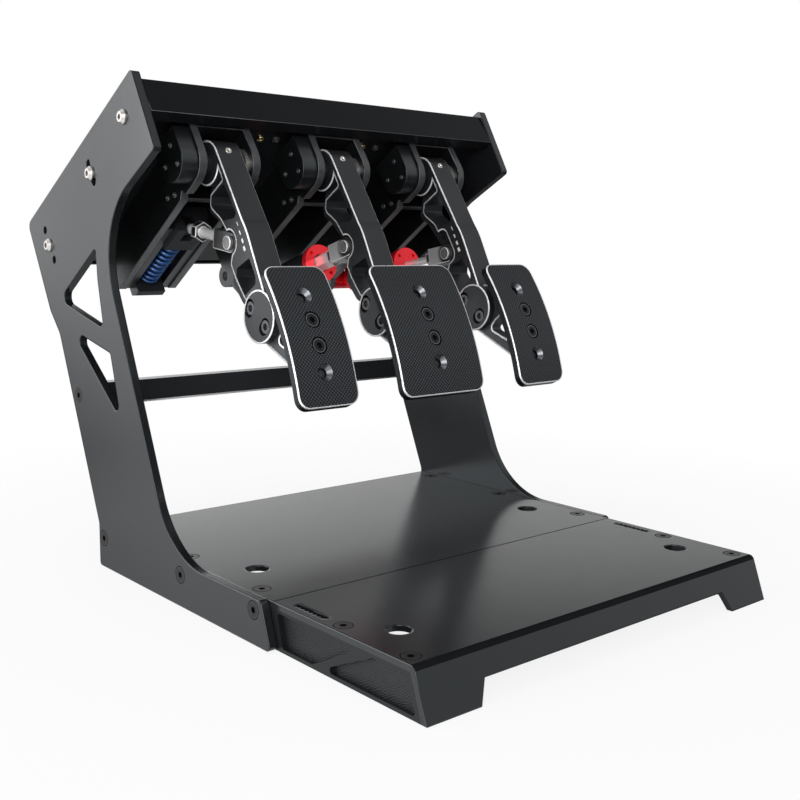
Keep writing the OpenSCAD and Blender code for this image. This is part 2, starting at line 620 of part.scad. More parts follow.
// Room for a clevis beside the tongue, reaching up past the pin for a spare pin hole
module scallop(pin, up) {
    if (up > 0) polygon(rounded([
        [tongue_back + 10, -pin - scallop_r, 0], [pin_back - scallop_r, -pin - scallop_r, 7],
        [pin_back - scallop_r, up + 4.5 - pin, 6], [tongue_back + 10, up + 4.5 - pin, 0]]));
    else translate([pin_back, -pin]) circle(r = scallop_r);
}
module oval(d) polygon(rounded([for (k = [0 : 3])
    [(k == 0 || k == 3 ? -1 : 1) * (bolt_slide + d / 2), (k < 2 ? -1 : 1) * d / 2, d / 2 - 0.1]]));
module at_bolt(p) translate([0, p.x, p.y]) rotate([atan2(p.y + disc_down, p.x - disc_back) + 90, 0, 0]) children();
module arm(x, pin, neck, spare) color([0.08, 0.08, 0.09]) in_arm(x) difference() {
    union() {
        slab(-arm_t / 2, arm_t / 2) polygon(arm_pts(pin));
        slab(-arm_t / 2 - disc_proud, arm_t / 2 + disc_proud) translate([disc_back, -disc_down]) circle(r = disc_r);
        slab(-tongue_t / 2, tongue_t / 2) {
            polygon(tongue_pts(pin, neck));
            translate([pin_back, -pin]) circle(r = pin_eye_r);
        }
        bar_x(bearing_flange + side_gap - wall_in, wall_in - bearing_flange - side_gap, 2 * hub_boss_r);
    }
    slab(-arm_t, arm_t) {
        polygon(arm_window_up);
        polygon(arm_window_low);
    }
    both_sides() slab(tongue_t / 2, arm_t) scallop(pin, spare);
    if (spare > 0) translate([0, pin_back + 1, spare - pin]) bar_x(-arm_t, arm_t, spare_pin_d);
    bar_x(-bracket_w, bracket_w, axle_d + 2 * run_gap);
    translate([0, pin_back, -pin]) bar_x(-arm_t, arm_t, pin_d + 2 * run_gap);
    slab(-carrier_t / 2 - 0.1, carrier_t / 2 + 0.1) translate([disc_back, -disc_down]) circle(r = disc_r + 0.5);
    for (p = [bolt_a, bolt_b]) at_bolt(p) {
        bar_x(-arm_t, arm_t, screw_d + 2 * screw_gap);
        slab(-arm_t, bolt_head_t - arm_t / 2) oval(bolt_head_d + 0.6);
    }
}
module clutch_arm() arm(-pedal_gap, clutch_pin_down, 8, 0);
module brake_arm() arm(0, brake_pin_down, 11.5, 0);
module throttle_arm() arm(pedal_gap, throttle_pin_down, 11.5, spare_pin_up);
module carrier_bolt_pair(x) color([0.3, 0.3, 0.32]) in_arm(x) for (p = [bolt_a, bolt_b]) at_bolt(p) difference() {
    union() {
        bar_x(-arm_t / 2, bolt_head_t - arm_t / 2, bolt_head_d);
        bar_x(bolt_head_t / 2 - arm_t / 2, arm_t / 2 - 1, screw_d);
    }
    bar_x(-arm_t, bolt_head_t / 2 - arm_t / 2, 5.5, $fn = 6);
}
module clutch_carrier_bolts() carrier_bolt_pair(-pedal_gap);
module brake_carrier_bolts() carrier_bolt_pair(0);
module throttle_carrier_bolts() carrier_bolt_pair(pedal_gap);

// Band of the pads' curve between two radii and two angles, w wide
module pad_band(r0, r1, a0, a1, w) translate([0, pad_axis.x, pad_axis.y]) rotate([a0, 0, 0])
    rotate([0, 90, 0]) rotate([0, 0, -90]) rotate_extrude(angle = a1 - a0, $fn = 240)
        translate([r0, -w / 2]) square([r1 - r0, w]);
// Frame of a pad screw, its head sunk below the curved face
module at_pad(angle) translate([0, pad_axis.x, pad_axis.y]) rotate([angle, 0, 0])
    translate([0, pad_sink - pad_r, 0]) rotate([0, 0, -90]) children();
carrier_top = pad_mid - pad_span / 2 + 2.5;
carrier_low = pad_mid + pad_span / 2 - 2.5;
carrier_mid_r = pad_r - pad_t - carrier_plate_t / 2;
module carrier(x) color([0.1, 0.1, 0.11]) in_arm(x) difference() {
    union() {
        slab(-carrier_t / 2, carrier_t / 2) difference() {
            union() {
                translate([disc_back, -disc_down]) circle(r = carrier_r);
                polygon(concat(
                    [[-12, -110]],
                    [for (k = [0 : 4]) pad_at(carrier_mid_r, carrier_top + 1 + (carrier_low - carrier_top - 2) * k / 4)],
                    [[8, -141.5], [10, -130]]));
            }
            polygon(rounded([[-4.5, -146, 3], [-13, -143, 3], [-30, -141, 3], [-31, -160, 20], [-28.5, -177, 3]]));
        }
        pad_band(carrier_mid_r - carrier_plate_t / 2, carrier_mid_r + carrier_plate_t / 2, carrier_top, carrier_low, 24);
    }
    for (p = [bolt_a, bolt_b]) at_bolt(p) bar_x(-arm_t, arm_t, screw_d + 2 * screw_gap);
    for (s = [-0.5, 0.5]) at_pad(pad_mid + s * pad_step) sunk_screw(pad_t + carrier_plate_t + 4, screw_gap);
}
module clutch_pad_carrier() carrier(-pedal_gap);
module brake_pad_carrier() carrier(0);
module throttle_pad_carrier() carrier(pedal_gap);

module pad_face(w) polygon(rounded([
    [w / 2, -pad_len / 2, pad_corner], [w / 2, pad_len / 2, pad_corner],
    [-w / 2, pad_len / 2, pad_corner], [-w / 2, -pad_len / 2, pad_corner]]));
module pad(x, w) color([0.07, 0.07, 0.08]) in_arm(x) difference() {
    intersection() {
        pad_band(pad_r - pad_t, pad_r, pad_mid - pad_span, pad_mid + pad_span, w + 10);
        translate([0, pad_axis.x, pad_axis.y]) rotate([pad_mid, 0, 0]) translate([0, 20 - pad_r, 0])
            rotate([90, 0, 0]) linear_extrude(40) pad_face(w);
    }
    for (s = [-1.5, -0.5, 0.5, 1.5]) at_pad(pad_mid + s * pad_step) {
        sunk_screw(20, screw_gap);
        bar_x(0, 1, screw_head_d + 2 * screw_gap);
    }
}
module clutch_pad() pad(-pedal_gap, side_pad_w);
module brake_pad() pad(0, brake_pad_w);
module throttle_pad() pad(pedal_gap, side_pad_w);
module pad_screw_pair(x) color([0.15, 0.15, 0.16]) in_arm(x)
    for (s = [-0.5, 0.5]) at_pad(pad_mid + s * pad_step) sunk_screw_cut(pad_t + carrier_plate_t + 3);
module clutch_pad_screws() pad_screw_pair(-pedal_gap);
module brake_pad_screws() pad_screw_pair(0);
module throttle_pad_screws() pad_screw_pair(pedal_gap);

module clevis_pin(x, pin) color([0.8, 0.81, 0.83]) in_arm(x) translate([0, pin_back, -pin]) {
    bar_x(-clevis_w / 2 - side_gap - 1, clevis_w / 2 + 2, pin_d);
    bar_x(-clevis_w / 2 - side_gap - pin_head_t, -clevis_w / 2 - side_gap, pin_head_d);
}
module clutch_clevis_pin() clevis_pin(-pedal_gap, clutch_pin_down);
module brake_clevis_pin() clevis_pin(0, brake_pin_down);
module throttle_clevis_pin() clevis_pin(pedal_gap, throttle_pin_down);

module clevis_body(thread) color([0.78, 0.79, 0.81]) difference() {
    union() {
        bar_x(-clevis_w / 2, clevis_w / 2, 2 * clevis_r);
        block(clevis_w / 2, 0, clevis_end, -clevis_r, clevis_r);
    }
    block(tongue_t / 2 + side_gap, -2 * clevis_r, clevis_mouth, -2 * clevis_r, 2 * clevis_r);
    bar_x(-arm_t, arm_t, pin_d + 2 * pin_play);
    bar_y(0, clevis_end + 1, thread + 2 * run_gap);
}
module clutch_clevis() along(-pedal_gap, clutch_pin_at, slide_at) clevis_body(rod_d);
module brake_clevis() along(0, brake_pin_at, brake_eye_at) clevis_body(rod_d);
module throttle_clevis() along(pedal_gap, throttle_pin_at, throttle_eye_at) clevis_body(throttle_rod_d);
module nut(at, thread) color([0.8, 0.81, 0.83]) difference() {
    hex_y(at, at + nut_t, nut_w);
    bar_y(0, at + nut_t + 1, thread + 2 * run_gap);
}
clutch_nut = clutch_rod_len - 26;
module clutch_lock_nut() along(-pedal_gap, clutch_pin_at, slide_at) nut(clutch_nut, rod_d);
module brake_lock_nut() along(0, brake_pin_at, brake_eye_at) nut(clevis_end, rod_d);
module throttle_lock_nut() along(pedal_gap, throttle_pin_at, throttle_eye_at) nut(clevis_end, throttle_rod_d);
rod_in = clevis_mouth + 1;
module clutch_push_rod() color([0.75, 0.76, 0.78]) along(-pedal_gap, clutch_pin_at, slide_at) difference() {
    union() {
        bar_y(rod_in, clutch_rod_len - 3, rod_d);
        translate([0, clutch_rod_len, 0]) bar_x(-carriage_eye_t / 2, carriage_eye_t / 2, 2 * carriage_eye_r);
    }
    translate([0, clutch_rod_len, 0]) bar_x(-carriage_eye_t, carriage_eye_t, pin_d + 2 * run_gap);
}
module brake_push_rod() color([0.75, 0.76, 0.78]) along(0, brake_pin_at, brake_eye_at) {
    bar_y(rod_in, clevis_end + nut_t + 2, rod_d);
    hex_y(clevis_end + nut_t + 1, brake_piston + 1, brake_rod_w);
    bar_y(brake_piston, brake_piston + piston_t, barrel_bore - 2 * side_gap);
}
module throttle_push_rod() color([0.75, 0.76, 0.78]) along(pedal_gap, throttle_pin_at, throttle_eye_at) {
    bar_y(rod_in, throttle_piston + 1, throttle_rod_d);
    bar_y(throttle_piston, throttle_piston + piston_t, barrel_bore - 2 * side_gap);
}

module clutch_guide_rails() color([0.55, 0.56, 0.58]) at_pedal(-pedal_gap) both_sides()
    translate([guide_in, guide_front, -guide_low]) cube([guide_w, wall_len - guide_front, guide_low - guide_top]);
module clutch_carriage() color([0.1, 0.1, 0.11]) at_pedal(-pedal_gap) difference() {
    union() {
        block(guide_in - side_gap, carriage_front, carriage_rear, -carriage_low, -guide_top);
        block(wall_in - side_gap, carriage_front, carriage_rear, side_gap - guide_top, -carriage_top);
        block(guide_in - side_gap, carriage_front, carriage_rear, -guide_top - 1, -carriage_top);
        translate([0, 0, -spring_drop]) bar_y(carriage_rear - 1, carriage_rear + 4, spigot_d);
    }
    block(carriage_eye_t / 2 + 0.5, carriage_front - 1, slide_back + carriage_eye_r + 0.8,
          -carriage_low - 1, carriage_eye_r + 0.8 - slide_drop);
    translate([0, slide_back, -slide_drop]) bar_x(-wall_out, wall_out, pin_d + 2 * run_gap);
}
module clutch_carriage_pin() color([0.7, 0.71, 0.73]) at_pedal(-pedal_gap)
    translate([0, slide_back, -slide_drop]) bar_x(side_gap - guide_in, guide_in - side_gap, pin_d);
spring_seat = 0.2;
module clutch_spring() color([0.1, 0.25, 0.6]) at_pedal(-pedal_gap)
    translate([0, carriage_rear + spring_seat, -spring_drop]) coil(end_front - carriage_rear - 2 * spring_seat, curls);
module clutch_spring_end() color([0.12, 0.12, 0.13]) at_pedal(-pedal_gap) {
    slab(-guide_in, guide_in) polygon([
        [end_front, -carriage_top], [wall_len, -carriage_top], [wall_len + end_t, -spring_drop],
        [wall_len + end_t, -carriage_low], [wall_len, -end_low], [end_front, -end_low]]);
    translate([0, 0, -spring_drop]) bar_y(end_front - spigot_len, end_front + 1, spigot_d);
}

// Barrel of a strut: a tube behind its preload ring, closed towards the rear eye
module barrel(front, length) difference() {
    union() {
        bar_y(front, length - barrel_back, barrel_d);
        block(eye_d / 2, length - barrel_back - 1, length, -eye_d / 2 + 1, eye_d / 2 - 1);
        translate([0, length, 0]) bar_x(side_gap - wall_in, wall_in - side_gap, eye_d);
    }
    bar_y(front - 1, length - barrel_back - barrel_end_t, barrel_bore);
    translate([0, length, 0]) bar_x(-wall_out, wall_out, strut_pin_d + 2 * run_gap);
}
module ring(at, bore) color([0.65, 0.06, 0.05]) difference() {
    bar_y(at, at + ring_t, ring_d);
    bar_y(at - 1, at + ring_t + 1, bore);
    for (k = [0 : 3]) rotate([0, 45 + 90 * k, 0]) translate([0, 0, ring_d / 2 - 3.6]) bar_y(at - 1, at + ring_t - 1.5, 3.2);
}
module brake_barrel() color([0.12, 0.12, 0.13]) along(0, brake_pin_at, brake_eye_at)
    barrel(brake_ring + ring_t, brake_len);
module throttle_barrel() color([0.55, 0.06, 0.05]) along(pedal_gap, throttle_pin_at, throttle_eye_at)
    barrel(throttle_ring + ring_t, throttle_len);
module brake_preload_ring() along(0, brake_pin_at, brake_eye_at) ring(brake_ring, brake_rod_w / cos(30) + 2 * side_gap);
module throttle_preload_ring() along(pedal_gap, throttle_pin_at, throttle_eye_at)
    ring(throttle_ring, throttle_rod_d + 2 * side_gap);
stack_front = brake_piston + piston_t;
stack_len = brake_len - barrel_back - barrel_end_t - stack_front;
module brake_elastomers() color([0.15, 0.13, 0.12]) along(0, brake_pin_at, brake_eye_at)
    for (k = [0 : stack_count - 1])
        bar_y(stack_front + spring_seat + stack_len * k / stack_count,
              stack_front - spring_seat + stack_len * (k + 1) / stack_count, barrel_bore - 1);
module throttle_spring() color([0.1, 0.25, 0.6]) along(pedal_gap, throttle_pin_at, throttle_eye_at)
    translate([0, throttle_piston + piston_t + spring_seat, 0])
        coil(throttle_len - barrel_back - barrel_end_t - throttle_piston - piston_t - 2 * spring_seat, curls);

side_plate_left();
side_plate_right();
base_plate();
heel_plate();
base_rail_left();
base_rail_right();
cross_bar();
frame_screws();
top_cover();
pedal_deck();
deck_bolts();
pivot_bearings();
strut_pins();
clutch_bracket();
clutch_sensor_hood();
clutch_axle();
clutch_arm();
clutch_carrier_bolts();
clutch_pad_carrier();
clutch_pad();
clutch_pad_screws();
clutch_clevis_pin();
clutch_clevis();
clutch_lock_nut();
clutch_push_rod();
clutch_guide_rails();
clutch_carriage();
clutch_carriage_pin();
clutch_spring();
clutch_spring_end();
brake_bracket();
brake_sensor_hood();
brake_axle();
brake_arm();
brake_carrier_bolts();
brake_pad_carrier();
brake_pad();
brake_pad_screws();
brake_clevis_pin();
brake_clevis();
brake_lock_nut();
brake_push_rod();
brake_barrel();
brake_preload_ring();
brake_elastomers();
throttle_bracket();
throttle_sensor_hood();
throttle_axle();
throttle_arm();
throttle_carrier_bolts();
throttle_pad_carrier();
throttle_pad();
throttle_pad_screws();
throttle_clevis_pin();
throttle_clevis();
throttle_lock_nut();
throttle_push_rod();
throttle_barrel();
throttle_preload_ring();
throttle_spring();
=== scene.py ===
"""Looks of the hanging pedal set: finishes for its solids, and the fine pieces that dress them."""

import json
import math

import bpy
import numpy as np
from bpy.props import FloatProperty, FloatVectorProperty, IntProperty, PointerProperty
from mathutils import Matrix, Vector

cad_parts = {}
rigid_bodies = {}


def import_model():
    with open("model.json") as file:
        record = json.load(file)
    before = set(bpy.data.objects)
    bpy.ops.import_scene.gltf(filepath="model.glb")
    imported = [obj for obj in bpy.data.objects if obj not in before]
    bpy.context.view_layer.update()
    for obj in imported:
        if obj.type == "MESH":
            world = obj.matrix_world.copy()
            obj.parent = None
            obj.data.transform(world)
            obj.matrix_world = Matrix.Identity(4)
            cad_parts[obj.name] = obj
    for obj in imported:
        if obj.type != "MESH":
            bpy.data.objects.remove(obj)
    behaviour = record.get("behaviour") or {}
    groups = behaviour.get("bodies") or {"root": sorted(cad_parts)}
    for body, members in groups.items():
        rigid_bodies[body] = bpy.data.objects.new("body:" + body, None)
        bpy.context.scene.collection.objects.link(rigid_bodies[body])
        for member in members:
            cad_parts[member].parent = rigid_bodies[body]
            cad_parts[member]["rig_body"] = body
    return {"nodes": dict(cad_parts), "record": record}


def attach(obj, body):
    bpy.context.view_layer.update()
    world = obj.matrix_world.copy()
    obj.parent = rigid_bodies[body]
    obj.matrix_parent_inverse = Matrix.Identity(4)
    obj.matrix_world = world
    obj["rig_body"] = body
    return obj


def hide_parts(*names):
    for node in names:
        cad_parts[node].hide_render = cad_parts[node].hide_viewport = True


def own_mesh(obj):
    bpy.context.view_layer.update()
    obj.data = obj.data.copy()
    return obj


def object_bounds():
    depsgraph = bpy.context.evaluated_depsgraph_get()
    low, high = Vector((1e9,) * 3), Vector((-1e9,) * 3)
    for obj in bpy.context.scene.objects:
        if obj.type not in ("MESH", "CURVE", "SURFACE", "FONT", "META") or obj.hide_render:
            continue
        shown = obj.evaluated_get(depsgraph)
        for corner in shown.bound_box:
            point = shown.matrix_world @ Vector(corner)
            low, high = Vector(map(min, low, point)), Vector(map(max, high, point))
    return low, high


bl_info = {
    "name": "Hanging pedal set",
    "version": (1, 0, 0),
    "blender": (4, 5, 0),
    "location": "3D View > Sidebar > Pedal set",
    "description": "Dresses the solids of a hanging three-pedal set",
    "category": "Add Mesh",
}

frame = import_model()
CAD_BOX = [list(corner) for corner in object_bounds()]
SLOT_OF = {row["node"]: row["material_slot"] for row in frame["record"]["subparts"]}
PEDALS = ("clutch", "brake", "throttle")
LEFT, RIGHT = (-1, 0, 0), (1, 0, 0)
FORE, BACK = (0, -1, 0), (0, 1, 0)
UP, DOWN = (0, 0, 1), (0, 0, -1)

# Centre of the pads' curve in the arm frame, its radius, and the pitch of the pads' holes along it
PAD_CENTRE = (0, 0.1682, -0.136)
PAD_RADIUS = 0.210
PAD_HOLE_PITCH = 0.0181
# Pin of the clutch carriage in the deck frame
CARRIAGE_PIN = (0, 0.069, -0.042)
# Outer face of the side plates, row of the screws in the base, and top of the base
PLATE_OUT = 0.168
BASE_SCREW_ROW = 0.1535
BASE_TOP = 0.030
# Tint of the gloss on coats and anodising, and on the pads
COAT_SHEEN = (0.86, 0.95, 1.0, 1)
PAD_SHEEN = (0.8, 0.92, 1.0, 1)


def length_prop(name, default, description):
    return FloatProperty(name=name, description=description, default=default, unit="LENGTH")


def angle_prop(name, degrees, description):
    return FloatProperty(name=name, description=description, default=math.radians(degrees),
                         subtype="ANGLE")


def colour_prop(name, default, description):
    return FloatVectorProperty(name=name, description=description, default=default,
                               subtype="COLOR", min=0, max=1)


class PedalSizes(bpy.types.PropertyGroup):
    """Sizes that the dressed pieces share with the solids."""

    pedal_gap: length_prop("Pedal gap", 0.102, "Distance between neighbouring pedals")
    deck_back: length_prop("Deck bolt back", 0.0717, "Front bolt of the deck behind the centre")
    deck_height: length_prop("Deck bolt height", 0.3302, "Front bolt of the deck above the floor")
    deck_tilt: angle_prop("Deck tilt", 34.4, "Slope of the deck")
    pivot_back: length_prop("Pivot back", 0.004, "Arm pivot behind the deck's front bolt")
    pivot_drop: length_prop("Pivot drop", 0.032, "Arm pivot below the deck's middle plane")
    arm_lean: angle_prop("Arm lean", 2.3, "Lean of the arms ahead of square to the deck")
    arm_thick: length_prop("Arm thickness", 0.020, "Thickness of the arms")
    rail_out: length_prop("Rail side", 0.162, "Outer side of the base rails from the centre")
    wall_in: length_prop("Bracket wall", 0.019, "Inner side of a bracket's walls from its middle")
    wall_out: length_prop("Bracket side", 0.025, "Outer side of a bracket's walls from its middle")
    seam_back: length_prop("Seam back", -0.0987, "Seam of the base behind the set's middle")
    bend_back: length_prop(
        "Bend back", -0.226207, "Centre of the heel plate's front bend behind the set's middle")
    bend_height: length_prop("Bend height", 0.026, "Centre of that bend above the floor")
    bend_radius: length_prop("Bend radius", 0.004, "Radius of that bend")
    lip_lean: angle_prop("Lip lean", 20.14, "Lean of the heel plate's front lip")
    pad_turn: angle_prop("Pad turn", 5.95, "Turn of the pads' middle from the arms")
    chamfer: length_prop("Arm chamfer", 0.0009, "Width of the bright chamfer on the arms")
    pad_chamfer: length_prop("Pad chamfer", 0.0012, "Width of the bright chamfer round the pads")
    soft_edge: length_prop("Soft edge", 0.0008, "Width of the rounding on coated edges")
    proud: length_prop("Proud", 0.00003, "How far an edge strip stands off its solid")
    coil_across: length_prop("Coil diameter", 0.014, "Mean diameter of the springs")
    wire: length_prop("Wire", 0.0028, "Wire diameter of the springs")
    curls: IntProperty(
        name="Curls", description="Open curls of a spring", default=8, min=3, max=20)


class PedalFinishes(bpy.types.PropertyGroup):
    """Colours of the finishes."""

    coat: colour_prop("Coat", (0.0105, 0.0111, 0.0124), "Black powder coat of the stand")
    anodised: colour_prop("Anodised", (0.017, 0.0178, 0.0195), "Black anodised arms and brackets")
    moulded: colour_prop("Moulded", (0.0055, 0.0058, 0.0064), "Black sensor hoods")
    steel: colour_prop("Steel", (0.90, 0.90, 0.91), "Polished rods, nuts and clevises")
    bare: colour_prop("Bare edge", (0.93, 0.93, 0.94), "Bare aluminium of the chamfers")
    rail: colour_prop("Guide rail", (0.20, 0.205, 0.21), "Grey guide rails of the clutch")
    red: colour_prop("Red", (1.0, 0.016, 0.030), "Red anodised rings and rear eyes")
    blue: colour_prop("Spring blue", (0.018, 0.090, 0.30), "Blue lacquer of the springs")
    brass: colour_prop("Brass", (0.62, 0.50, 0.27), "Screws under the deck")
    rubber: colour_prop("Rubber", (0.03, 0.03, 0.03), "Elastomers of the brake")
    # The edge colour is a painted highlight: far lighter than the black, it stands for the light caught by
    # the edges of the brackets and the top cover
    edge: colour_prop("Edge", (0.085, 0.087, 0.092), "Worn black edges of brackets and cover")
    print_white: colour_prop("Print", (0.80, 0.80, 0.80), "Printed marks on the arms")
    floor: colour_prop("Floor", (0.86, 0.86, 0.86), "Pale studio floor")


def sizes():
    return bpy.context.scene.pedal_sizes


def finishes():
    return bpy.context.scene.pedal_finishes


def pedal_x(pedal):
    """Middle of a pedal across the set."""
    return (PEDALS.index(pedal) - 1) * sizes().pedal_gap


def turned(points, angle):
    """Points (across, back, up) turned about the across axis by an angle."""
    points = np.asarray(points, float)
    c, s = math.cos(angle), math.sin(angle)
    back = points[..., 1] * c - points[..., 2] * s
    up = points[..., 1] * s + points[..., 2] * c
    return np.stack([points[..., 0], back, up], -1)


def deck_to_row(points):
    """Deck frame (across, back along the deck, up from its middle plane) to the row frame."""
    size = sizes()
    return turned(points, -size.deck_tilt) + np.array([0, size.deck_back, size.deck_height])


def arm_to_row(pedal, points):
    """Arm frame (across, back and up from the pivot) to the row frame."""
    size = sizes()
    pivot = np.array([pedal_x(pedal), size.pivot_back, -size.pivot_drop])
    return deck_to_row(turned(points, size.arm_lean) + pivot)


def deck_dir(direction):
    """A direction of the deck frame in the row frame."""
    return turned(direction, -sizes().deck_tilt)


def unit(vectors):
    return vectors / np.maximum(np.linalg.norm(vectors, axis=-1, keepdims=True), 1e-12)


def dots(first, second):
    """Dot products of two lists of vectors, pair by pair."""
    return np.einsum("ij,ij->i", first, second)


def grid_faces(rows, cols, wrap_rows=False, wrap_cols=True):
    """Quads between neighbouring rows and columns of a grid of points."""
    i, j = np.meshgrid(np.arange(rows if wrap_rows else rows - 1),
                       np.arange(cols if wrap_cols else cols - 1), indexing="ij")
    down, right = (i + 1) % rows, (j + 1) % cols
    quads = [i * cols + j, down * cols + j, down * cols + right, i * cols + right]
    return np.stack(quads, -1).reshape(-1, 4)


def fan(start, cols, centre):
    """Triangles from one row of a grid to a point that closes it."""
    j = np.arange(cols)
    return np.stack([start + j, start + (j + 1) % cols, np.full(cols, centre)], -1)


def closed_grid(rings):
    """A closed skin from rings of points (rows, columns, 3): quads between the rings, and a fan
    from the middle of the first and of the last ring. Faces are turned to point outwards."""
    rows, cols = rings.shape[:2]
    points = np.concatenate([rings.reshape(-1, 3), rings[[0, -1]].mean(1)])
    quads = grid_faces(rows, cols)
    caps = np.concatenate([fan(0, cols, rows * cols)[:, ::-1],
                           fan((rows - 1) * cols, cols, rows * cols + 1)])
    tris = np.concatenate([quads[:, [0, 1, 2]], quads[:, [0, 2, 3]], caps])
    corner = points[tris] - points.mean(0)
    if dots(corner[:, 0], np.cross(corner[:, 1], corner[:, 2])).sum() < 0:
        quads, caps = quads[:, ::-1], caps[:, ::-1]
    return points, quads.tolist() + caps.tolist()


def joined(skins):
    """Several skins as one: each one's faces count on from the points before it."""
    points, faces, count = [], [], 0
    for skin_points, skin_faces in skins:
        points.append(skin_points)
        faces.extend([[k + count for k in face] for face in skin_faces])
        count += len(skin_points)
    return np.concatenate(points), faces


def make_piece(name, skin, body, material, smooth=True):
    """A piece from a skin, riding on a body, with its place in its mesh, inside the solids' box."""
    points, faces = skin
    mesh = bpy.data.meshes.new(name)
    mesh.from_pydata(np.clip(points, *CAD_BOX).tolist(), [], [list(face) for face in faces])
    mesh.polygons.foreach_set("use_smooth", np.full(len(mesh.polygons), smooth))
    mesh.materials.append(material)
    mesh.update()
    obj = bpy.data.objects.new(name, mesh)
    bpy.context.scene.collection.objects.link(obj)
    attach(obj, body)
    return obj


def body_of(node):
    """The body that carries a node."""
    return frame["nodes"][node]["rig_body"]


class Graph:
    """Short hand for adding and linking the nodes of a tree."""

    def __init__(self, tree):
        self.tree = tree

    def add(self, kind, sockets=(), **settings):
        """A node with its settings, and its sockets set to values or linked to outputs."""
        node = self.tree.nodes.new(kind)
        for key, value in settings.items():
            setattr(node, key, value)
        for key, value in dict(sockets).items():
            if isinstance(value, bpy.types.NodeSocket):
                self.link(value, node.inputs[key])
            else:
                node.inputs[key].default_value = value
        return node

    def link(self, output, socket):
        self.tree.links.new(output, socket)

    def math(self, operation, *values):
        return self.add("ShaderNodeMath", enumerate(values), operation=operation).outputs["Value"]

    def dot(self, place, direction):
        """Distance of a place along a direction, times the direction's length."""
        sockets = {0: place, 1: direction}
        return self.add("ShaderNodeVectorMath", sockets, operation="DOT_PRODUCT").outputs["Value"]

    def length(self, place):
        return self.add("ShaderNodeVectorMath", {0: place}, operation="LENGTH").outputs["Value"]

    def between(self, fac, low, high, start=0.0, end=1.0, curve="LINEAR"):
        """A number that runs from low to high as fac runs from start to end."""
        sockets = {"Value": fac, "From Min": start, "From Max": end, "To Min": low, "To Max": high}
        return self.add("ShaderNodeMapRange", sockets, interpolation_type=curve).outputs["Result"]


class Nodes(Graph):
    """Short hand for building one finish from shader nodes."""

    def __init__(self, name):
        self.material = bpy.data.materials.new(name)
        self.material.use_nodes = True
        super().__init__(self.material.node_tree)
        self.shader = self.tree.nodes["Principled BSDF"]
        self.place = self.add("ShaderNodeTexCoord").outputs["Object"]

    def set(self, **values):
        for key, value in values.items():
            self.shader.inputs[key.replace("_", " ")].default_value = value

    def noise(self, scale, detail=3.0, rough=0.5, stretch=None):
        place = self.place
        if stretch:
            place = self.add("ShaderNodeMapping", {"Vector": place, "Scale": stretch}).outputs["Vector"]
        sockets = {"Vector": place, "Scale": scale, "Detail": detail, "Roughness": rough}
        return self.add("ShaderNodeTexNoise", sockets).outputs["Fac"]

    def along(self, direction, per_metre=1.0):
        """Distance along a direction times a count for each metre."""
        return self.dot(self.place, [per_metre * part for part in direction])

    def from_axis(self, centre):
        """Distance from a line across the set through a point: the length of (back, up) from it."""
        sockets = {"Vector": self.place, "Scale": (0, 1, 1), "Location": (0, -centre[1], -centre[2])}
        return self.length(self.add("ShaderNodeMapping", sockets).outputs["Vector"])

    def tint(self, fac, dark, light, start=0.3, end=0.7):
        """Base colour from dark to light as fac runs from start to end."""
        node = self.add("ShaderNodeValToRGB", {"Fac": fac})
        ramp = node.color_ramp.elements
        for element, position, colour in zip(ramp, (start, end), (dark, light)):
            element.position = position
            element.color = (*colour, 1)
        self.link(node.outputs["Color"], self.shader.inputs["Base Color"])
        return ramp

    def relief(self, height, strength, distance):
        sockets = {"Height": height, "Strength": strength, "Distance": distance}
        node = self.add("ShaderNodeBump", sockets)
        self.link(node.outputs["Normal"], self.shader.inputs["Normal"])

    def gloss(self, fac, low, high):
        self.link(self.between(fac, low, high, 0.25, 0.75), self.shader.inputs["Roughness"])


def shade(colour, factor):
    return tuple(min(1.0, part * factor) for part in colour)


def coat_finish(name, shine, level=1.0):
    """Powder coat: faint cloudiness, fine orange peel and a satin gloss that varies with it."""
    nodes = Nodes(name)
    # A level above one gives a lit copy of the coat, as painted light; a level below one gives a shaded
    # copy, as painted shade
    colour = shade(finishes().coat, level)
    nodes.tint(nodes.noise(14, 4), shade(colour, 0.93), shade(colour, 1.08))
    nodes.gloss(nodes.noise(60, 5, 0.6), 0.18, 0.21)
    nodes.relief(nodes.noise(1400, 2), 0.04, 0.0004)
    nodes.set(Specular_IOR_Level=shine, Specular_Tint=COAT_SHEEN)
    return nodes.material


def hatched_coat_finish():
    """Powder coat of the rails: the same coat, with fine wavy ridges inside their pockets."""
    nodes = Nodes("hatched_coat")
    colour = finishes().coat
    nodes.tint(nodes.noise(14, 4), shade(colour, 0.8), shade(colour, 1.3))
    nodes.gloss(nodes.noise(60, 5, 0.6), 0.30, 0.40)
    pitch, edge = 0.0014, sizes().rail_out
    sway = nodes.math("MULTIPLY", nodes.noise(160, 3), 16.0)
    rise = nodes.along((0, 0.5, 0.87), 2 * math.pi / pitch)
    ridge = nodes.math("SINE", nodes.math("ADD", rise, sway))
    across = nodes.math("ABSOLUTE", nodes.along(RIGHT))
    pocket = nodes.between(across, 1.0, 0.0, edge - 0.0012, edge - 0.0004)
    nodes.relief(nodes.math("MULTIPLY", ridge, pocket), 0.3, 0.0003)
    nodes.set(Specular_IOR_Level=0.17, Specular_Tint=COAT_SHEEN)
    return nodes.material


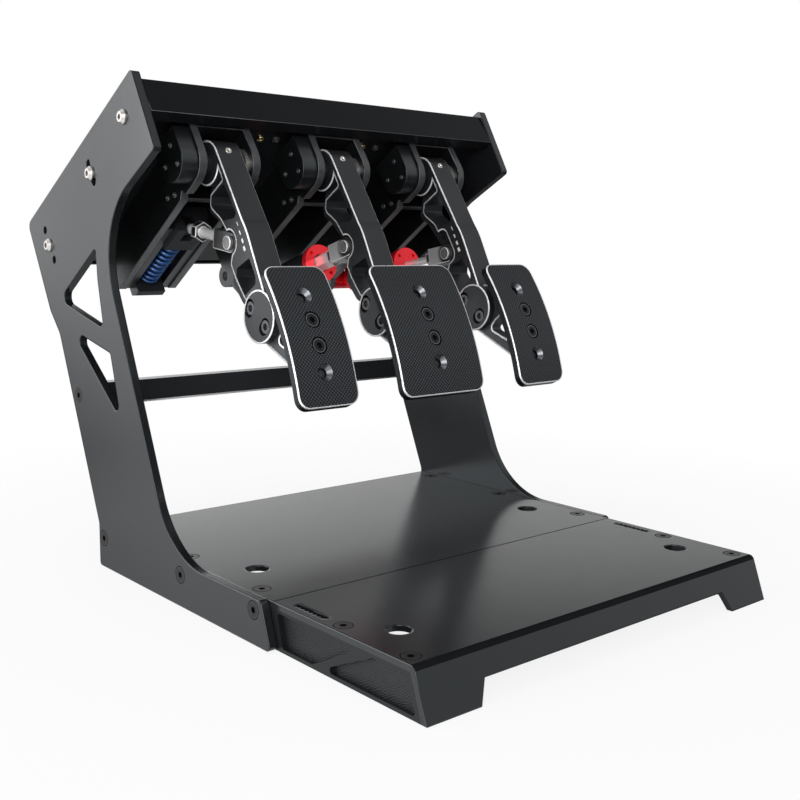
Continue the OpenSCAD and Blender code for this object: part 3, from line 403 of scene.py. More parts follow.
def anodised_finish(name, colour, rough, shine=0.40, cut_highlight=None):
    """Black anodising: fine blasted grain under an even satin skin. The cut edges of a bracket's walls can
    get a painted highlight, strongest behind its ears."""
    nodes = Nodes(name)
    fac = nodes.noise(30, 3)
    if cut_highlight:
        size = sizes()
        # Mask of the painted highlight: the cut faces of the walls, paler towards the back behind the ears
        margin, fade, ear = 0.0001, 0.0004, 0.025
        aside = nodes.math("PINGPONG", nodes.along(RIGHT), size.pedal_gap / 2)
        inner = nodes.between(aside, 0.0, 1.0, size.wall_in + margin, size.wall_in + fade)
        outer = nodes.between(aside, 1.0, 0.0, size.wall_out - fade, size.wall_out - margin)
        start = float(deck_to_row((0, ear, 0)) @ deck_dir(BACK))
        level = nodes.between(nodes.along(deck_dir(BACK)), 0.85, 1.0, start, start + 0.02)
        edge = nodes.math("MULTIPLY", nodes.math("MULTIPLY", inner, outer), level)
        fac = nodes.math("MAXIMUM", fac, edge)
    ramp = nodes.tint(fac, shade(colour, 0.85), shade(colour, 1.2))
    if cut_highlight:
        # Colours of the painted highlight on the cut edges
        ramp.new(0.85).color = (*shade(cut_highlight, 0.3), 1)
        ramp.new(1.0).color = (*cut_highlight, 1)
    nodes.gloss(nodes.noise(120, 4), rough - 0.04, rough + 0.05)
    nodes.relief(nodes.noise(3500, 1), 0.06, 0.0002)
    nodes.set(Specular_IOR_Level=shine, Specular_Tint=COAT_SHEEN)
    return nodes.material


def pad_finish():
    """Pad skin: small studs from two crossing waves on the front, in slanting rows, with painted shade in
    the grooves and a painted highlight on the studs. The front is what lies within a hair of the pads'
    radius from their centre line."""
    nodes = Nodes("diamond_skin")
    colour = finishes().anodised
    size = sizes()
    lean = size.pad_turn + size.arm_lean - size.deck_tilt
    up = (0, -math.sin(lean), math.cos(lean))
    pitch = 0.0027
    per_metre = 2 * math.pi / pitch
    across = nodes.math("SINE", nodes.along(RIGHT, per_metre))
    along = nodes.math("SINE", nodes.along(up, per_metre))
    reach = nodes.from_axis(arm_to_row("brake", PAD_CENTRE))
    front = nodes.between(reach, 0.0, 1.0, PAD_RADIUS - 0.0015, PAD_RADIUS - 0.0009)
    diamonds = nodes.math("MULTIPLY", nodes.math("MULTIPLY", across, along), front)
    # Painted shade in the grooves, painted highlight on the studs
    nodes.tint(diamonds, shade(colour, 0.25), shade(colour, 3.2), 0.0, 0.6)
    nodes.link(nodes.between(diamonds, 0.5, 0.28, -0.5, 0.8), nodes.shader.inputs["Roughness"])
    nodes.relief(diamonds, 0.5, 0.0003)
    nodes.set(Specular_IOR_Level=0.3, Specular_Tint=PAD_SHEEN)
    return nodes.material


def metal_finish(name, colour, rough, grain=(1, 1, 1), spread=0.05, metallic=1.0, relief=0.03):
    """Metal: drawn or turned grain in the gloss, and a faint tint."""
    nodes = Nodes(name)
    streak = nodes.noise(120, 2, 0.5, grain)
    nodes.tint(streak, shade(colour, 0.95), shade(colour, 1.03))
    nodes.gloss(streak, max(0.04, rough - spread), rough + spread)
    nodes.relief(nodes.noise(900, 2, 0.5, grain), relief, 0.0002)
    nodes.set(Metallic=metallic)
    return nodes.material


def pin_shaded_finish(name, pin, dark, bright, reach, metallic):
    """Polished steel with painted shade round a pin: the tint goes by the distance from the pin, and
    changes over a millimetre."""
    nodes = Nodes(name)
    nodes.tint(nodes.from_axis(pin), dark, bright, reach, reach + 0.001)
    nodes.gloss(nodes.noise(120, 2), 0.28, 0.30)
    nodes.set(Metallic=metallic)
    return nodes.material


def pin_shaded_fork_finish(pedal):
    """Clevis with painted shade round its pin, and bright behind it."""
    steel = finishes().steel
    pin = welded(pedal + "_clevis_pin")[0].mean(0)
    return pin_shaded_finish(pedal + "_fork", pin, shade(steel, 0.08), shade(steel, 0.9), 0.0085, 0.7)


def lacquer_finish():
    """Spring lacquer: deep blue under a clear glossy skin."""
    nodes = Nodes("blue_lacquer")
    colour = finishes().blue
    nodes.tint(nodes.noise(90, 3), shade(colour, 0.75), shade(colour, 1.3))
    nodes.gloss(nodes.noise(300, 3), 0.2, 0.3)
    nodes.relief(nodes.noise(1200, 2), 0.05, 0.0002)
    nodes.set(Coat_Weight=0.6, Coat_Roughness=0.12, Metallic=0.35)
    return nodes.material


def matt_finish(name, colour, rough, shine=0.5):
    """Rubber, print or a dark groove: fine spark texture and a matt skin."""
    nodes = Nodes(name)
    nodes.tint(nodes.noise(40, 4), shade(colour, 0.8), shade(colour, 1.15))
    nodes.gloss(nodes.noise(200, 3), rough - 0.06, rough + 0.06)
    nodes.relief(nodes.noise(2200, 2), 0.12, 0.0002)
    nodes.set(Specular_IOR_Level=shine)
    return nodes.material


FINISH = {}


def build_finishes():
    """One material for each finish, kept by the record's slot names and a few of its own."""
    tone = finishes()
    FINISH.update({
        "black_coat": coat_finish("powder_coat", 0.38),
        # A darker, duller copy of the coat for the top cover, as painted shade
        "shaded_matt_coat": coat_finish("shaded_matt_coat", 0.07, 0.7),
        # A lighter copy of the coat for the cross bar, as painted light
        "lit_bar_coat": coat_finish("lit_bar_coat", 0.06, 2.8),
        # A dull, darker coat for the heel plate's bend, as painted shade
        "bend_shade_coat": coat_finish("bend_shade_coat", 0.01, 0.9),
        "hatched": hatched_coat_finish(),
        "black_screw": metal_finish("black_oxide", (0.075, 0.076, 0.08), 0.34, metallic=0.6),
        "dark_screw": metal_finish("dark_screw", (0.016, 0.016, 0.018), 0.34, metallic=0.8),
        # Painted shade on the clutch rod's end round the carriage pin
        "rod_end": pin_shaded_finish("rod_end", deck_to_row(CARRIAGE_PIN), (0.012, 0.012, 0.013),
                                 tone.steel, 0.0095, 0.5),
        "stainless": metal_finish("stainless", (0.47, 0.45, 0.43), 0.28, metallic=0.85),
        # The brackets take a darker copy of the anodising as painted shade, and a painted highlight on
        # their cut edges
        "bracket_black": anodised_finish("bracket_shade_and_edge_highlight", shade(tone.anodised, 0.3), 0.30, 0.4,
                                         shade(tone.edge, 1.8)),
        "hood_black": anodised_finish("moulded_black", tone.moulded, 0.30, 0.6),
        "arm_black": anodised_finish("arm_anodised", tone.anodised, 0.36, 0.32),
        "pad_black": pad_finish(),
        # The pad carriers take a lighter copy of the black anodising as painted light
        "carrier": anodised_finish("lit_carrier_anodised", shade(tone.anodised, 2.6), 0.40),
        "polished": metal_finish("polished_steel", tone.steel, 0.29, spread=0.01, metallic=0.5,
                                 relief=0.0),
        "brake_fork": pin_shaded_fork_finish("brake"),
        "throttle_fork": pin_shaded_fork_finish("throttle"),
        # A darker copy of the polished steel for the clutch clevis and the lock nuts, as painted shade
        "mirror": metal_finish("mirror_steel", shade(tone.steel, 0.2), 0.29, spread=0.01, relief=0.0),
        "pin_grey": metal_finish("pin_grey", (0.20, 0.20, 0.20), 0.34, spread=0.02, metallic=0.5,
                                 relief=0.0),
        "guide_grey": metal_finish("drawn_rail", tone.rail, 0.38, (1, 0.05, 0.05)),
        "carriage_black": anodised_finish("carriage_anodised", tone.anodised, 0.38),
        "spring_blue": lacquer_finish(),
        "red_anodised": metal_finish("red_anodised", tone.red, 0.30, metallic=0.4),
        "barrel_grey": metal_finish("barrel_grey", (0.05, 0.05, 0.055), 0.32, metallic=0.7),
        "rubber": matt_finish("rubber", tone.rubber, 0.6),
        "bare": metal_finish("bare_chamfer", tone.bare, 0.30, spread=0.04, metallic=0.45),
        "brass": metal_finish("brass", tone.brass, 0.22),
        "print": matt_finish("print_white", tone.print_white, 0.5),
        # Painted highlight for the edges of the brackets and the top cover
        "edge_highlight": metal_finish("edge_highlight", tone.edge, 0.30, metallic=0.3),
        "turned": metal_finish("turned_sink", (0.13, 0.135, 0.145), 0.26, metallic=0.85,
                               relief=0.01),
        "groove": matt_finish("dark_groove", (0.002, 0.002, 0.002), 0.6, 0.02),
    })


def welded(node):
    """Points and triangles of a solid with its loose corners joined."""
    mesh = frame["nodes"][node].data
    mesh.calc_loop_triangles()
    points = np.empty(len(mesh.vertices) * 3)
    mesh.vertices.foreach_get("co", points)
    tris = np.empty(len(mesh.loop_triangles) * 3, np.int64)
    mesh.loop_triangles.foreach_get("vertices", tris)
    points = points.reshape(-1, 3)
    cells_per_metre = 2e6
    same = np.round(points * cells_per_metre).astype(np.int64)
    first, back = np.unique(same, axis=0, return_index=True, return_inverse=True)[1:]
    tris = back.reshape(-1)[tris].reshape(-1, 3)
    whole = (tris[:, 0] != tris[:, 1]) & (tris[:, 1] != tris[:, 2]) & (tris[:, 0] != tris[:, 2])
    return points[first], tris[whole]


def chains(ends, count):
    """A number for each edge that is the same along a chain of edges that meet."""
    label = np.arange(count)
    for _ in range(count):
        low = np.minimum(label[ends[:, 0]], label[ends[:, 1]])
        new = label.copy()
        np.minimum.at(new, ends[:, 0], low)
        np.minimum.at(new, ends[:, 1], low)
        if np.array_equal(new, label):
            break
        label = new
    return label[ends[:, 0]]


def sharp_edges(points, tris, directions):
    """Convex sharp edges of a solid with one face that looks along a direction, or all of them:
    their two ends, and for each of its two faces the normal and the way into the face."""
    look_cos, sharp_cos = 0.93, 0.64
    corner = points[tris]
    normal = unit(np.cross(corner[:, 1] - corner[:, 0], corner[:, 2] - corner[:, 0]))
    ends = tris[:, [[0, 1], [1, 2], [2, 0]]].reshape(-1, 2)
    owner = np.repeat(np.arange(len(tris)), 3)
    key = np.sort(ends, 1)
    order = np.lexsort((key[:, 1], key[:, 0]))
    key, owner = key[order], owner[order]
    pair = np.flatnonzero((key[:-1] == key[1:]).all(1))
    edge, first, second = key[pair], owner[pair], owner[pair + 1]
    looks = np.full(len(tris), True)
    if directions:
        looks = np.stack([normal @ np.asarray(d, float) for d in directions]).max(0) > look_cos
    swap = ~looks[first] & looks[second]
    main, wall = np.where(swap, second, first), np.where(swap, first, second)
    middle = points[edge].mean(1)
    below = dots(normal[main], corner[wall].mean(1) - middle) < 0
    keep = looks[main] & below & (dots(normal[main], normal[wall]) < sharp_cos)
    edge, main, wall, middle = edge[keep], main[keep], wall[keep], middle[keep]
    run = unit(points[edge[:, 1]] - points[edge[:, 0]])
    sides = []
    for face in (main, wall):
        inward = np.cross(normal[face], run)
        flip = dots(inward, corner[face].mean(1) - middle) < 0
        inward[flip] *= -1
        sides.append((normal[face], inward))
    return edge, sides


def mitred(edge, vectors, count):
    """At each point, the vector whose offset keeps both edges that meet there at one distance."""
    least = 0.4
    total, met = np.zeros((count, 3)), np.zeros(count)
    for end in (0, 1):
        np.add.at(total, edge[:, end], vectors)
        np.add.at(met, edge[:, end], 1)
    square = np.maximum(dots(total, total), least)
    return total * (np.maximum(met, 1) / square)[:, None]


def facing(rows, quads, looks):
    """A skin of quads, each turned to look along its own direction."""
    corner = rows[quads]
    normal = np.cross(corner[:, 1] - corner[:, 0], corner[:, 3] - corner[:, 0])
    wrong = dots(normal, looks) < 0
    quads[wrong] = quads[wrong][:, ::-1]
    return rows, quads.tolist()


def edge_strip(node, directions, widths, smallest=0.0, where=None):
    """A thin strip folded over the sharp outlines of a solid: at each point of an outline the
    profile runs from the face, over the edge, down the wall, a hair proud of both. The widths are
    those on the face and on the wall."""
    points, tris = welded(node)
    edge, ((up, into), (out, down)) = sharp_edges(points, tris, directions)
    if where is not None:
        keep = where(points[edge].mean(1))
        edge, up, into, out, down = (part[keep] for part in (edge, up, into, out, down))
    chain = chains(edge, len(points))
    names, place = np.unique(chain, return_inverse=True)
    low, high = np.full((len(names), 3), 1e9), np.full((len(names), 3), -1e9)
    for end in (0, 1):
        np.minimum.at(low, place, points[edge[:, end]])
        np.maximum.at(high, place, points[edge[:, end]])
    keep = np.linalg.norm(high - low, axis=1)[place] > smallest
    edge, up, into, out, down = (part[keep] for part in (edge, up, into, out, down))
    count = len(points)
    proud = sizes().proud
    lift_up, lift_out = mitred(edge, up, count), mitred(edge, out, count)
    on_face = points + lift_up * proud + mitred(edge, into, count) * widths[0]
    corner = points + (lift_up + lift_out) * proud
    on_wall = points + lift_out * proud + mitred(edge, down, count) * widths[1]
    used, spot = np.unique(edge, return_inverse=True)
    spot = spot.reshape(-1, 2)
    rows = np.concatenate([on_face[used], corner[used], on_wall[used]])
    n = len(used)
    a, b = spot[:, 0], spot[:, 1]
    quads = np.concatenate([np.stack([a, b, b + n, a + n], -1),
                            np.stack([a + n, b + n, b + 2 * n, a + 2 * n], -1)])
    return facing(rows, quads, np.concatenate([up, out]))


def edge_lines(node, directions, width):
    """Thin strips folded over the sharp edges of a small solid, each edge with its own."""
    points, tris = welded(node)
    edge, ((up, into), (out, down)) = sharp_edges(points, tris, directions)
    proud = sizes().proud
    offsets = (up * proud + into * width, (up + out) * proud, out * proud + down * width)
    rows = np.stack([points[edge] + offset[:, None] for offset in offsets], 1)
    first = np.arange(len(edge))[:, None] * 6
    quads = np.concatenate([first + [0, 1, 3, 2], first + [2, 3, 5, 4]])
    return facing(rows.reshape(-1, 3), quads, np.concatenate([up, out]))


def bend_skin():
    """The heel plate's front bend: an arc from straight up to the lip's lean, carried across the plate, a
    hair proud of it. It is the sheet that carries painted shade along the bend."""
    size = sizes()
    steps = 12
    angle = np.linspace(math.pi / 2, math.pi - size.lip_lean, steps)
    radius = size.bend_radius + size.proud
    back, up = size.bend_back + radius * np.cos(angle), size.bend_height + radius * np.sin(angle)
    across = size.rail_out * np.array([-1.0, 1.0])
    points = np.stack(np.broadcast_arrays(across, back[:, None], up[:, None]), -1)
    return points.reshape(-1, 3), grid_faces(steps, 2, False, False).tolist()


def middle_line(node):
    """Front end, direction and length of a long solid's middle line, from its points."""
    points = welded(node)[0]
    middle = points.mean(0)
    along = np.linalg.eigh(np.cov((points - middle).T))[1][:, 2]
    if along[1] < 0:
        along = -along
    reach = (points - middle) @ along
    centre = middle + along * (reach.max() + reach.min()) / 2
    length = reach.max() - reach.min()
    centre[0] = pedal_x(node.split("_")[0])
    along[0] = 0
    along = unit(along)
    return centre - along * length / 2, along, length


def stand_for(obj, node):
    """Let a piece replace a node: the node is hidden and the piece gets a mesh of its own."""
    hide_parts(node)
    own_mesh(obj)


def coil_skin(start, along, length, x_dir):
    """Spring: a round wire carried along a helix whose first and last curls lie closed."""
    size = sizes()
    wire, turns = size.wire, size.curls + 2.0
    steps_each, round_wire = 28, 12
    t = np.linspace(0, 1, int(turns * steps_each) + 1)
    closed = 0.9 / turns
    free = length - 3 * wire
    rise = (wire / 2 + wire * np.clip(t / closed, 0, 1)
            + free * np.clip((t - closed) / (1 - 2 * closed), 0, 1)
            + wire * np.clip((t - 1 + closed) / closed, 0, 1))
    angle = 2 * math.pi * turns * t
    along, x_dir = np.asarray(along, float), np.asarray(x_dir, float)
    y_dir = np.cross(along, x_dir)
    out = np.cos(angle)[:, None] * x_dir + np.sin(angle)[:, None] * y_dir
    path = np.asarray(start) + rise[:, None] * along + out * size.coil_across / 2
    run = unit(np.gradient(path, axis=0))
    side = unit(np.cross(run, out))
    ring = np.linspace(0, 2 * math.pi, round_wire, endpoint=False)
    rings = path[:, None] + wire / 2 * (np.cos(ring)[None, :, None] * out[:, None]
                                         + np.sin(ring)[None, :, None] * side[:, None])
    return closed_grid(rings)


def turned_rings(base, axis, profile, count, hexagon=()):
    """Rings of points round an axis, one for each (radius, height) of a profile. Rings named in
    hexagon have six flats, the radius being the distance to a flat."""
    axis = unit(np.asarray(axis, float))
    one = unit(np.cross(axis, RIGHT if abs(axis[0]) < 0.9 else BACK))
    two = np.cross(axis, one)
    angle = np.linspace(0, 2 * math.pi, count, endpoint=False)
    profile = np.asarray(profile, float)
    stretch = np.ones((len(profile), count))
    stretch[list(hexagon)] = 1 / np.cos((angle + math.pi / 6) % (math.pi / 3) - math.pi / 6)
    radius = profile[:, :1] * stretch
    out = np.cos(angle)[:, None] * one + np.sin(angle)[:, None] * two
    return np.asarray(base) + radius[..., None] * out + profile[:, 1][:, None, None] * axis


def turned_skin(base, axis, profile, hexagon=(), count=36):
    """A turned piece: its profile of (radius, height) goes from end to end of an axis."""
    return closed_grid(turned_rings(base, axis, profile, count, hexagon))


def ring_skin(base, axis, profile, count=40):
    """A ring turned round an axis: its profile of (radius, height) closes on itself."""
    points = turned_rings(base, axis, profile, count).reshape(-1, 3)
    quads = grid_faces(len(profile), count, True)
    corner = points[quads] - points.mean(0)
    twice = np.cross(corner[:, 2] - corner[:, 0], corner[:, 3] - corner[:, 1])
    if dots(corner.mean(1), twice).sum() < 0:
        quads = quads[:, ::-1]
    return points, quads.tolist()


def socket_head(base, axis, radius, height, socket):
    """Round screw head with a rounded rim and a six-sided socket."""
    profile = [(radius * 0.98, 0), (radius, height * 0.12), (radius, height * 0.55),
               (radius * 0.9, height * 0.85), (radius * 0.72, height), (socket * 1.08, height),
               (socket, height * 0.9), (socket, height * 0.25), (socket * 0.5, height * 0.15)]
    return turned_skin(base, axis, profile, hexagon=(5, 6, 7))


def flat_ring(outer, inner, top):
    """Profile of a thin flat ring that stands a hair off its face."""
    foot = 0.00001
    return (outer, foot), (outer, top), (inner, top), (inner, foot)


# Finishes of the solids that do not take their slot's own, by the ends of their names
OWN_FINISHES = (
    ("base_rail_left", "hatched"), ("base_rail_right", "hatched"), ("top_cover", "shaded_matt_coat"),
    ("cross_bar", "lit_bar_coat"), ("pad_carrier", "carrier"), ("clutch_clevis", "mirror"),
    ("brake_clevis", "brake_fork"), ("throttle_clevis", "throttle_fork"), ("_lock_nut", "mirror"),
    ("_clevis_pin", "pin_grey"), ("_pad_screws", "dark_screw"), ("frame_screws", "dark_screw"),
    ("clutch_push_rod", "rod_end"),
)


class PEDALSET_OT_finish_solids(bpy.types.Operator):
    """Give every solid its finish"""

    bl_idname = "pedalset.finish_solids"
    bl_label = "Finish solids"

    def execute(self, context):
        build_finishes()
        for name, obj in frame["nodes"].items():
            slot = SLOT_OF[name]
            key = next((key for ending, key in OWN_FINISHES if name.endswith(ending)), slot)
            obj.data.materials.clear()
            obj.data.materials.append(FINISH[key])
        return {"FINISHED"}


class PEDALSET_OT_soft_edges(bpy.types.Operator):
    """Round the coated edges of plates, brackets and hoods, give the edges of the brackets, the top cover
    and the cross bar a painted highlight, and line the seam of the base
    """

    bl_idname = "pedalset.soft_edges"
    bl_label = "Soft edges"

    def at_seam(self, points):
        """Whether a point lies on the seam between the base plate and the heel plate."""
        size = sizes()
        aside, height = 0.98 * size.rail_out, 0.05
        near = np.abs(points[:, 1] - size.seam_back) < size.soft_edge
        return near & (np.abs(points[:, 0]) < aside) & (points[:, 2] < height)

    def execute(self, context):
        width, smallest = sizes().soft_edge, 0.02
        sides = [RIGHT, LEFT]
        deck_up, deck_fore, lip_out = deck_dir(UP), deck_dir(FORE), (0, -0.94, 0.34)
        looks = {
            "side_plate_left": sides, "side_plate_right": sides, "base_plate": [UP],
            "heel_plate": [UP, lip_out], "cross_bar": [DOWN], "top_cover": [deck_up, deck_fore],
            "pedal_deck": [deck_fore, -deck_up],
        }
        for node, directions in looks.items():
            finish, widths = frame["nodes"][node].data.materials[0], (width, width)
            # The top cover's edges get a painted highlight
            if node == "top_cover":
                finish, widths = FINISH["edge_highlight"], (0.3 * width, 0.3 * width)
            # The cross bar's edges take the bright bare finish as a painted highlight
            if node == "cross_bar":
                finish, widths = FINISH["bare"], (width, 1.6 * width)
            strip = edge_strip(node, directions, widths, smallest, lambda p: ~self.at_seam(p))
            make_piece(node + "_edges", strip, body_of(node), finish)
        seam = [edge_strip(node, [UP], (0.5 * width, width), smallest, self.at_seam)
                for node in ("base_plate", "heel_plate")]
        make_piece("base_seam", joined(seam), "stand", FINISH["groove"])
        # The bend's sheet carries painted shade
        make_piece("heel_plate_bend", bend_skin(), "stand", FINISH["bend_shade_coat"])
        for pedal in PEDALS:
            # The brackets' edges get a painted highlight
            for ending, finish in (("_bracket", "edge_highlight"), ("_sensor_hood", "hood_black")):
                node = pedal + ending
                strip = edge_strip(node, [*sides, deck_fore], (width / 2, width / 2), smallest)
                make_piece(node + "_edges", strip, body_of(node), FINISH[finish])
        return {"FINISHED"}


class PEDALSET_OT_bright_edges(bpy.types.Operator):
    """Cut the bright chamfers of arms, pads and pad carriers, and paint highlights on the rims of clevises,
    pins and nuts
    """

    bl_idname = "pedalset.bright_edges"
    bl_label = "Bright edges"

    def execute(self, context):
        size = sizes()
        near, far = (1.3 * size.chamfer, 0.5 * size.chamfer), (size.chamfer, 0.1 * size.chamfer)
        pad_widths = (0.5 * size.pad_chamfer, size.pad_chamfer)
        lean = size.pad_turn + size.arm_lean - size.deck_tilt
        pad_front = turned(FORE, lean)
        reach = 0.48 * size.arm_thick
        for pedal in PEDALS:
            middle = pedal_x(pedal)

            def outside(points):
                return np.abs(points[:, 0] - middle) > reach

            jobs = (
                ("_arm", "_left", LEFT, near, 0.045, outside),
                ("_arm", "_right", RIGHT, far, 0.045, outside),
                ("_pad", "", pad_front, pad_widths, 0.040, None),
                ("_pad_carrier", "_left", LEFT, near, 0.020, None),
                ("_pad_carrier", "_right", RIGHT, far, 0.020, None),
            )
            for ending, side, direction, widths, smallest, where in jobs:
                node = pedal + ending
                strip = edge_strip(node, [direction], widths, smallest, where)
                make_piece(node + side + "_chamfer", strip, body_of(node), FINISH["bare"])
            along = middle_line(pedal + "_push_rod")[1]
            # The bright lines on the edges of clevises, pins and nuts are painted highlights
            rims = (("_clevis", [along, turned(along, -math.pi / 2)]), ("_clevis_pin", [LEFT]),
                    ("_lock_nut", None))
            for ending, directions in rims:
                node = pedal + ending
                lines = edge_lines(node, directions, 0.5 * size.chamfer)
                make_piece(node + "_rims", lines, body_of(node), FINISH["bare"])
        return {"FINISHED"}


class PEDALSET_OT_springs(bpy.types.Operator):
    """Wind the clutch spring and the throttle spring"""

    bl_idname = "pedalset.springs"
    bl_label = "Springs"

    def execute(self, context):
        jobs = (("clutch_spring", "clutch_travel"), ("throttle_spring", "throttle_plunge"))
        for node, joint in jobs:
            line = middle_line(node)
            skin = coil_skin(*line, RIGHT)
            obj = make_piece(node + "_coil", skin, body_of(node), FINISH["spring_blue"])
            stand_for(obj, node)
        return {"FINISHED"}


class PEDALSET_OT_elastomers(bpy.types.Operator):
    """Turn the brake's elastomers with crowned sides"""

    bl_idname = "pedalset.elastomers"
    bl_label = "Elastomers"

    def execute(self, context):
        node = "brake_elastomers"
        line = middle_line(node)
        start, along, length = line
        radius, gap, count, swell = 0.0098, 0.0002, 3, 0.07
        each = length / count
        height = np.linspace(gap, each - gap, 9)
        bulge = np.sin(np.pi * (height - gap) / (each - 2 * gap))
        crown = radius * (1 - swell + swell * bulge)
        profile = np.stack([crown, height], -1)
        skins = [turned_skin(start + along * each * k, along, profile) for k in range(count)]
        obj = make_piece(node + "_stack", joined(skins), body_of(node), FINISH["rubber"])
        stand_for(obj, node)
        return {"FINISHED"}


class PEDALSET_OT_small_screws(bpy.types.Operator):
    """Set the small screws under the deck, on the hoods, the bracket walls and the arms"""

    bl_idname = "pedalset.small_screws"
    bl_label = "Small screws"

    def execute(self, context):
        gap = sizes().pedal_gap
        down, deck_under = deck_dir(DOWN), -0.005
        for name, finish, places in (("cover_screws", "brass", (-0.056, 0.042)),
                                     ("deck_screws", "black_screw", (-0.042, 0.056))):
            heads = [socket_head(deck_to_row((x, back, deck_under)), down, 0.0031, 0.0018, 0.0014)
                     for x in places for back in (0.004, 0.150)]
            make_piece(name, joined(heads), "stand", FINISH[finish])
        hood_spots = ((-0.0014, -0.0228), (-0.0022, -0.0389), (0.0129, -0.0308))
        wall_spots = ((0.0415, -0.036), (0.032, -0.040))
        for name, aside, spots, head in (("hood_screws", 0.038, hood_spots, (0.0019, 0.0011, 0.0009)),
                                         ("wall_screws", 0.025, wall_spots, (0.0022, 0.0012, 0.0010))):
            heads = [socket_head(deck_to_row((middle - aside, *spot)), LEFT, *head)
                     for middle in (-gap, 0, gap) for spot in spots]
            make_piece(name, joined(heads), "stand", FINISH["black_screw"])
        for pedal in PEDALS:
            front = (0, -0.0158, 0.0002)
            spot = arm_to_row(pedal, front)
            ahead = arm_to_row(pedal, np.add(front, FORE)) - spot
            head = socket_head(spot, ahead, 0.0026, 0.0011, 0.0012)
            make_piece(pedal + "_arm_screw", head, pedal + "_pedal", FINISH["stainless"])
        return {"FINISHED"}


class PEDALSET_OT_screw_rims(bpy.types.Operator):
    """Draw the dark groove and the rim of the sunk screws in the plates"""

    bl_idname = "pedalset.screw_rims"
    bl_label = "Screw rims"

    def execute(self, context):
        places = []
        for side in (-1, 1):
            for back in (0.119, 0.004, -0.086):
                places.append(((side * PLATE_OUT, back, 0.0223), (side, 0, 0)))
            for back in (0.103, 0.0146, -0.074, -0.158, -0.217):
                places.append(((side * BASE_SCREW_ROW, back, BASE_TOP), UP))
        for name, outer, inner, finish in (("grooves", 0.0061, 0.0054, "groove"),
                                           ("rims", 0.0054, 0.0050, "black_screw")):
            profile = flat_ring(outer, inner, 0.00004)
            rings = [ring_skin(place, way, profile) for place, way in places]
            make_piece("screw_" + name, joined(rings), "stand", FINISH[finish], smooth=False)
        return {"FINISHED"}


class PEDALSET_OT_pad_sinks(bpy.types.Operator):
    """Turn the countersinks of the pads' upper and lower holes, and the rims of their screws"""

    bl_idname = "pedalset.pad_sinks"
    bl_label = "Pad countersinks"

    def execute(self, context):
        face, step = PAD_RADIUS - 0.0004, PAD_HOLE_PITCH / PAD_RADIUS
        centre = np.array(PAD_CENTRE)
        cone = ((0.005975, 0.00002), (0.00319, -0.00296), (0.003195, -0.00299), (0.00599, -0.000005))
        looks = ((1.5, cone, "turned", "_pad_sinks"),
                 (0.5, flat_ring(0.0060, 0.0048, 0.00005), "groove", "_pad_grooves"),
                 (0.5, flat_ring(0.0048, 0.0043, 0.00005), "turned", "_pad_rims"))
        for pedal in PEDALS:
            for count, profile, finish, ending in looks:
                rings = []
                for turn in (-count * step, count * step):
                    ahead = turned(FORE, sizes().pad_turn + turn)
                    spot = arm_to_row(pedal, centre + face * ahead)
                    way = arm_to_row(pedal, centre + (face + 1) * ahead) - spot
                    rings.append(ring_skin(spot, way, profile))
                make_piece(pedal + ending, joined(rings), pedal + "_pedal", FINISH[finish], smooth=False)
        return {"FINISHED"}


class PEDALSET_OT_arm_marks(bpy.types.Operator):
    """Print the four growing marks on the outer arms"""

    bl_idname = "pedalset.arm_marks"
    bl_label = "Arm marks"

    def execute(self, context):
        # Drop and back from the pivot, width and height of each mark
        marks = ((0.0573, -0.0114, 0.0007, 0.0030), (0.0641, -0.0109, 0.0013, 0.0032),
                 (0.0705, -0.0106, 0.0019, 0.0033), (0.0761, -0.0098, 0.0024, 0.0034))
        square = np.array([(-1, -1), (1, -1), (1, 1), (-1, 1)]) / 2
        face, thick = -sizes().arm_thick / 2, 0.00006
        for pedal in ("clutch", "throttle"):
            tiles = []
            for drop, back, wide, tall in marks:
                corner = square * (wide, tall) + (back, -drop)
                rings = np.stack([np.column_stack([np.full(4, x), corner]) for x in (face, face - thick)])
                tiles.append(closed_grid(arm_to_row(pedal, rings)))
            make_piece(pedal + "_arm_marks", joined(tiles), pedal + "_pedal", FINISH["print"], smooth=False)
        return {"FINISHED"}


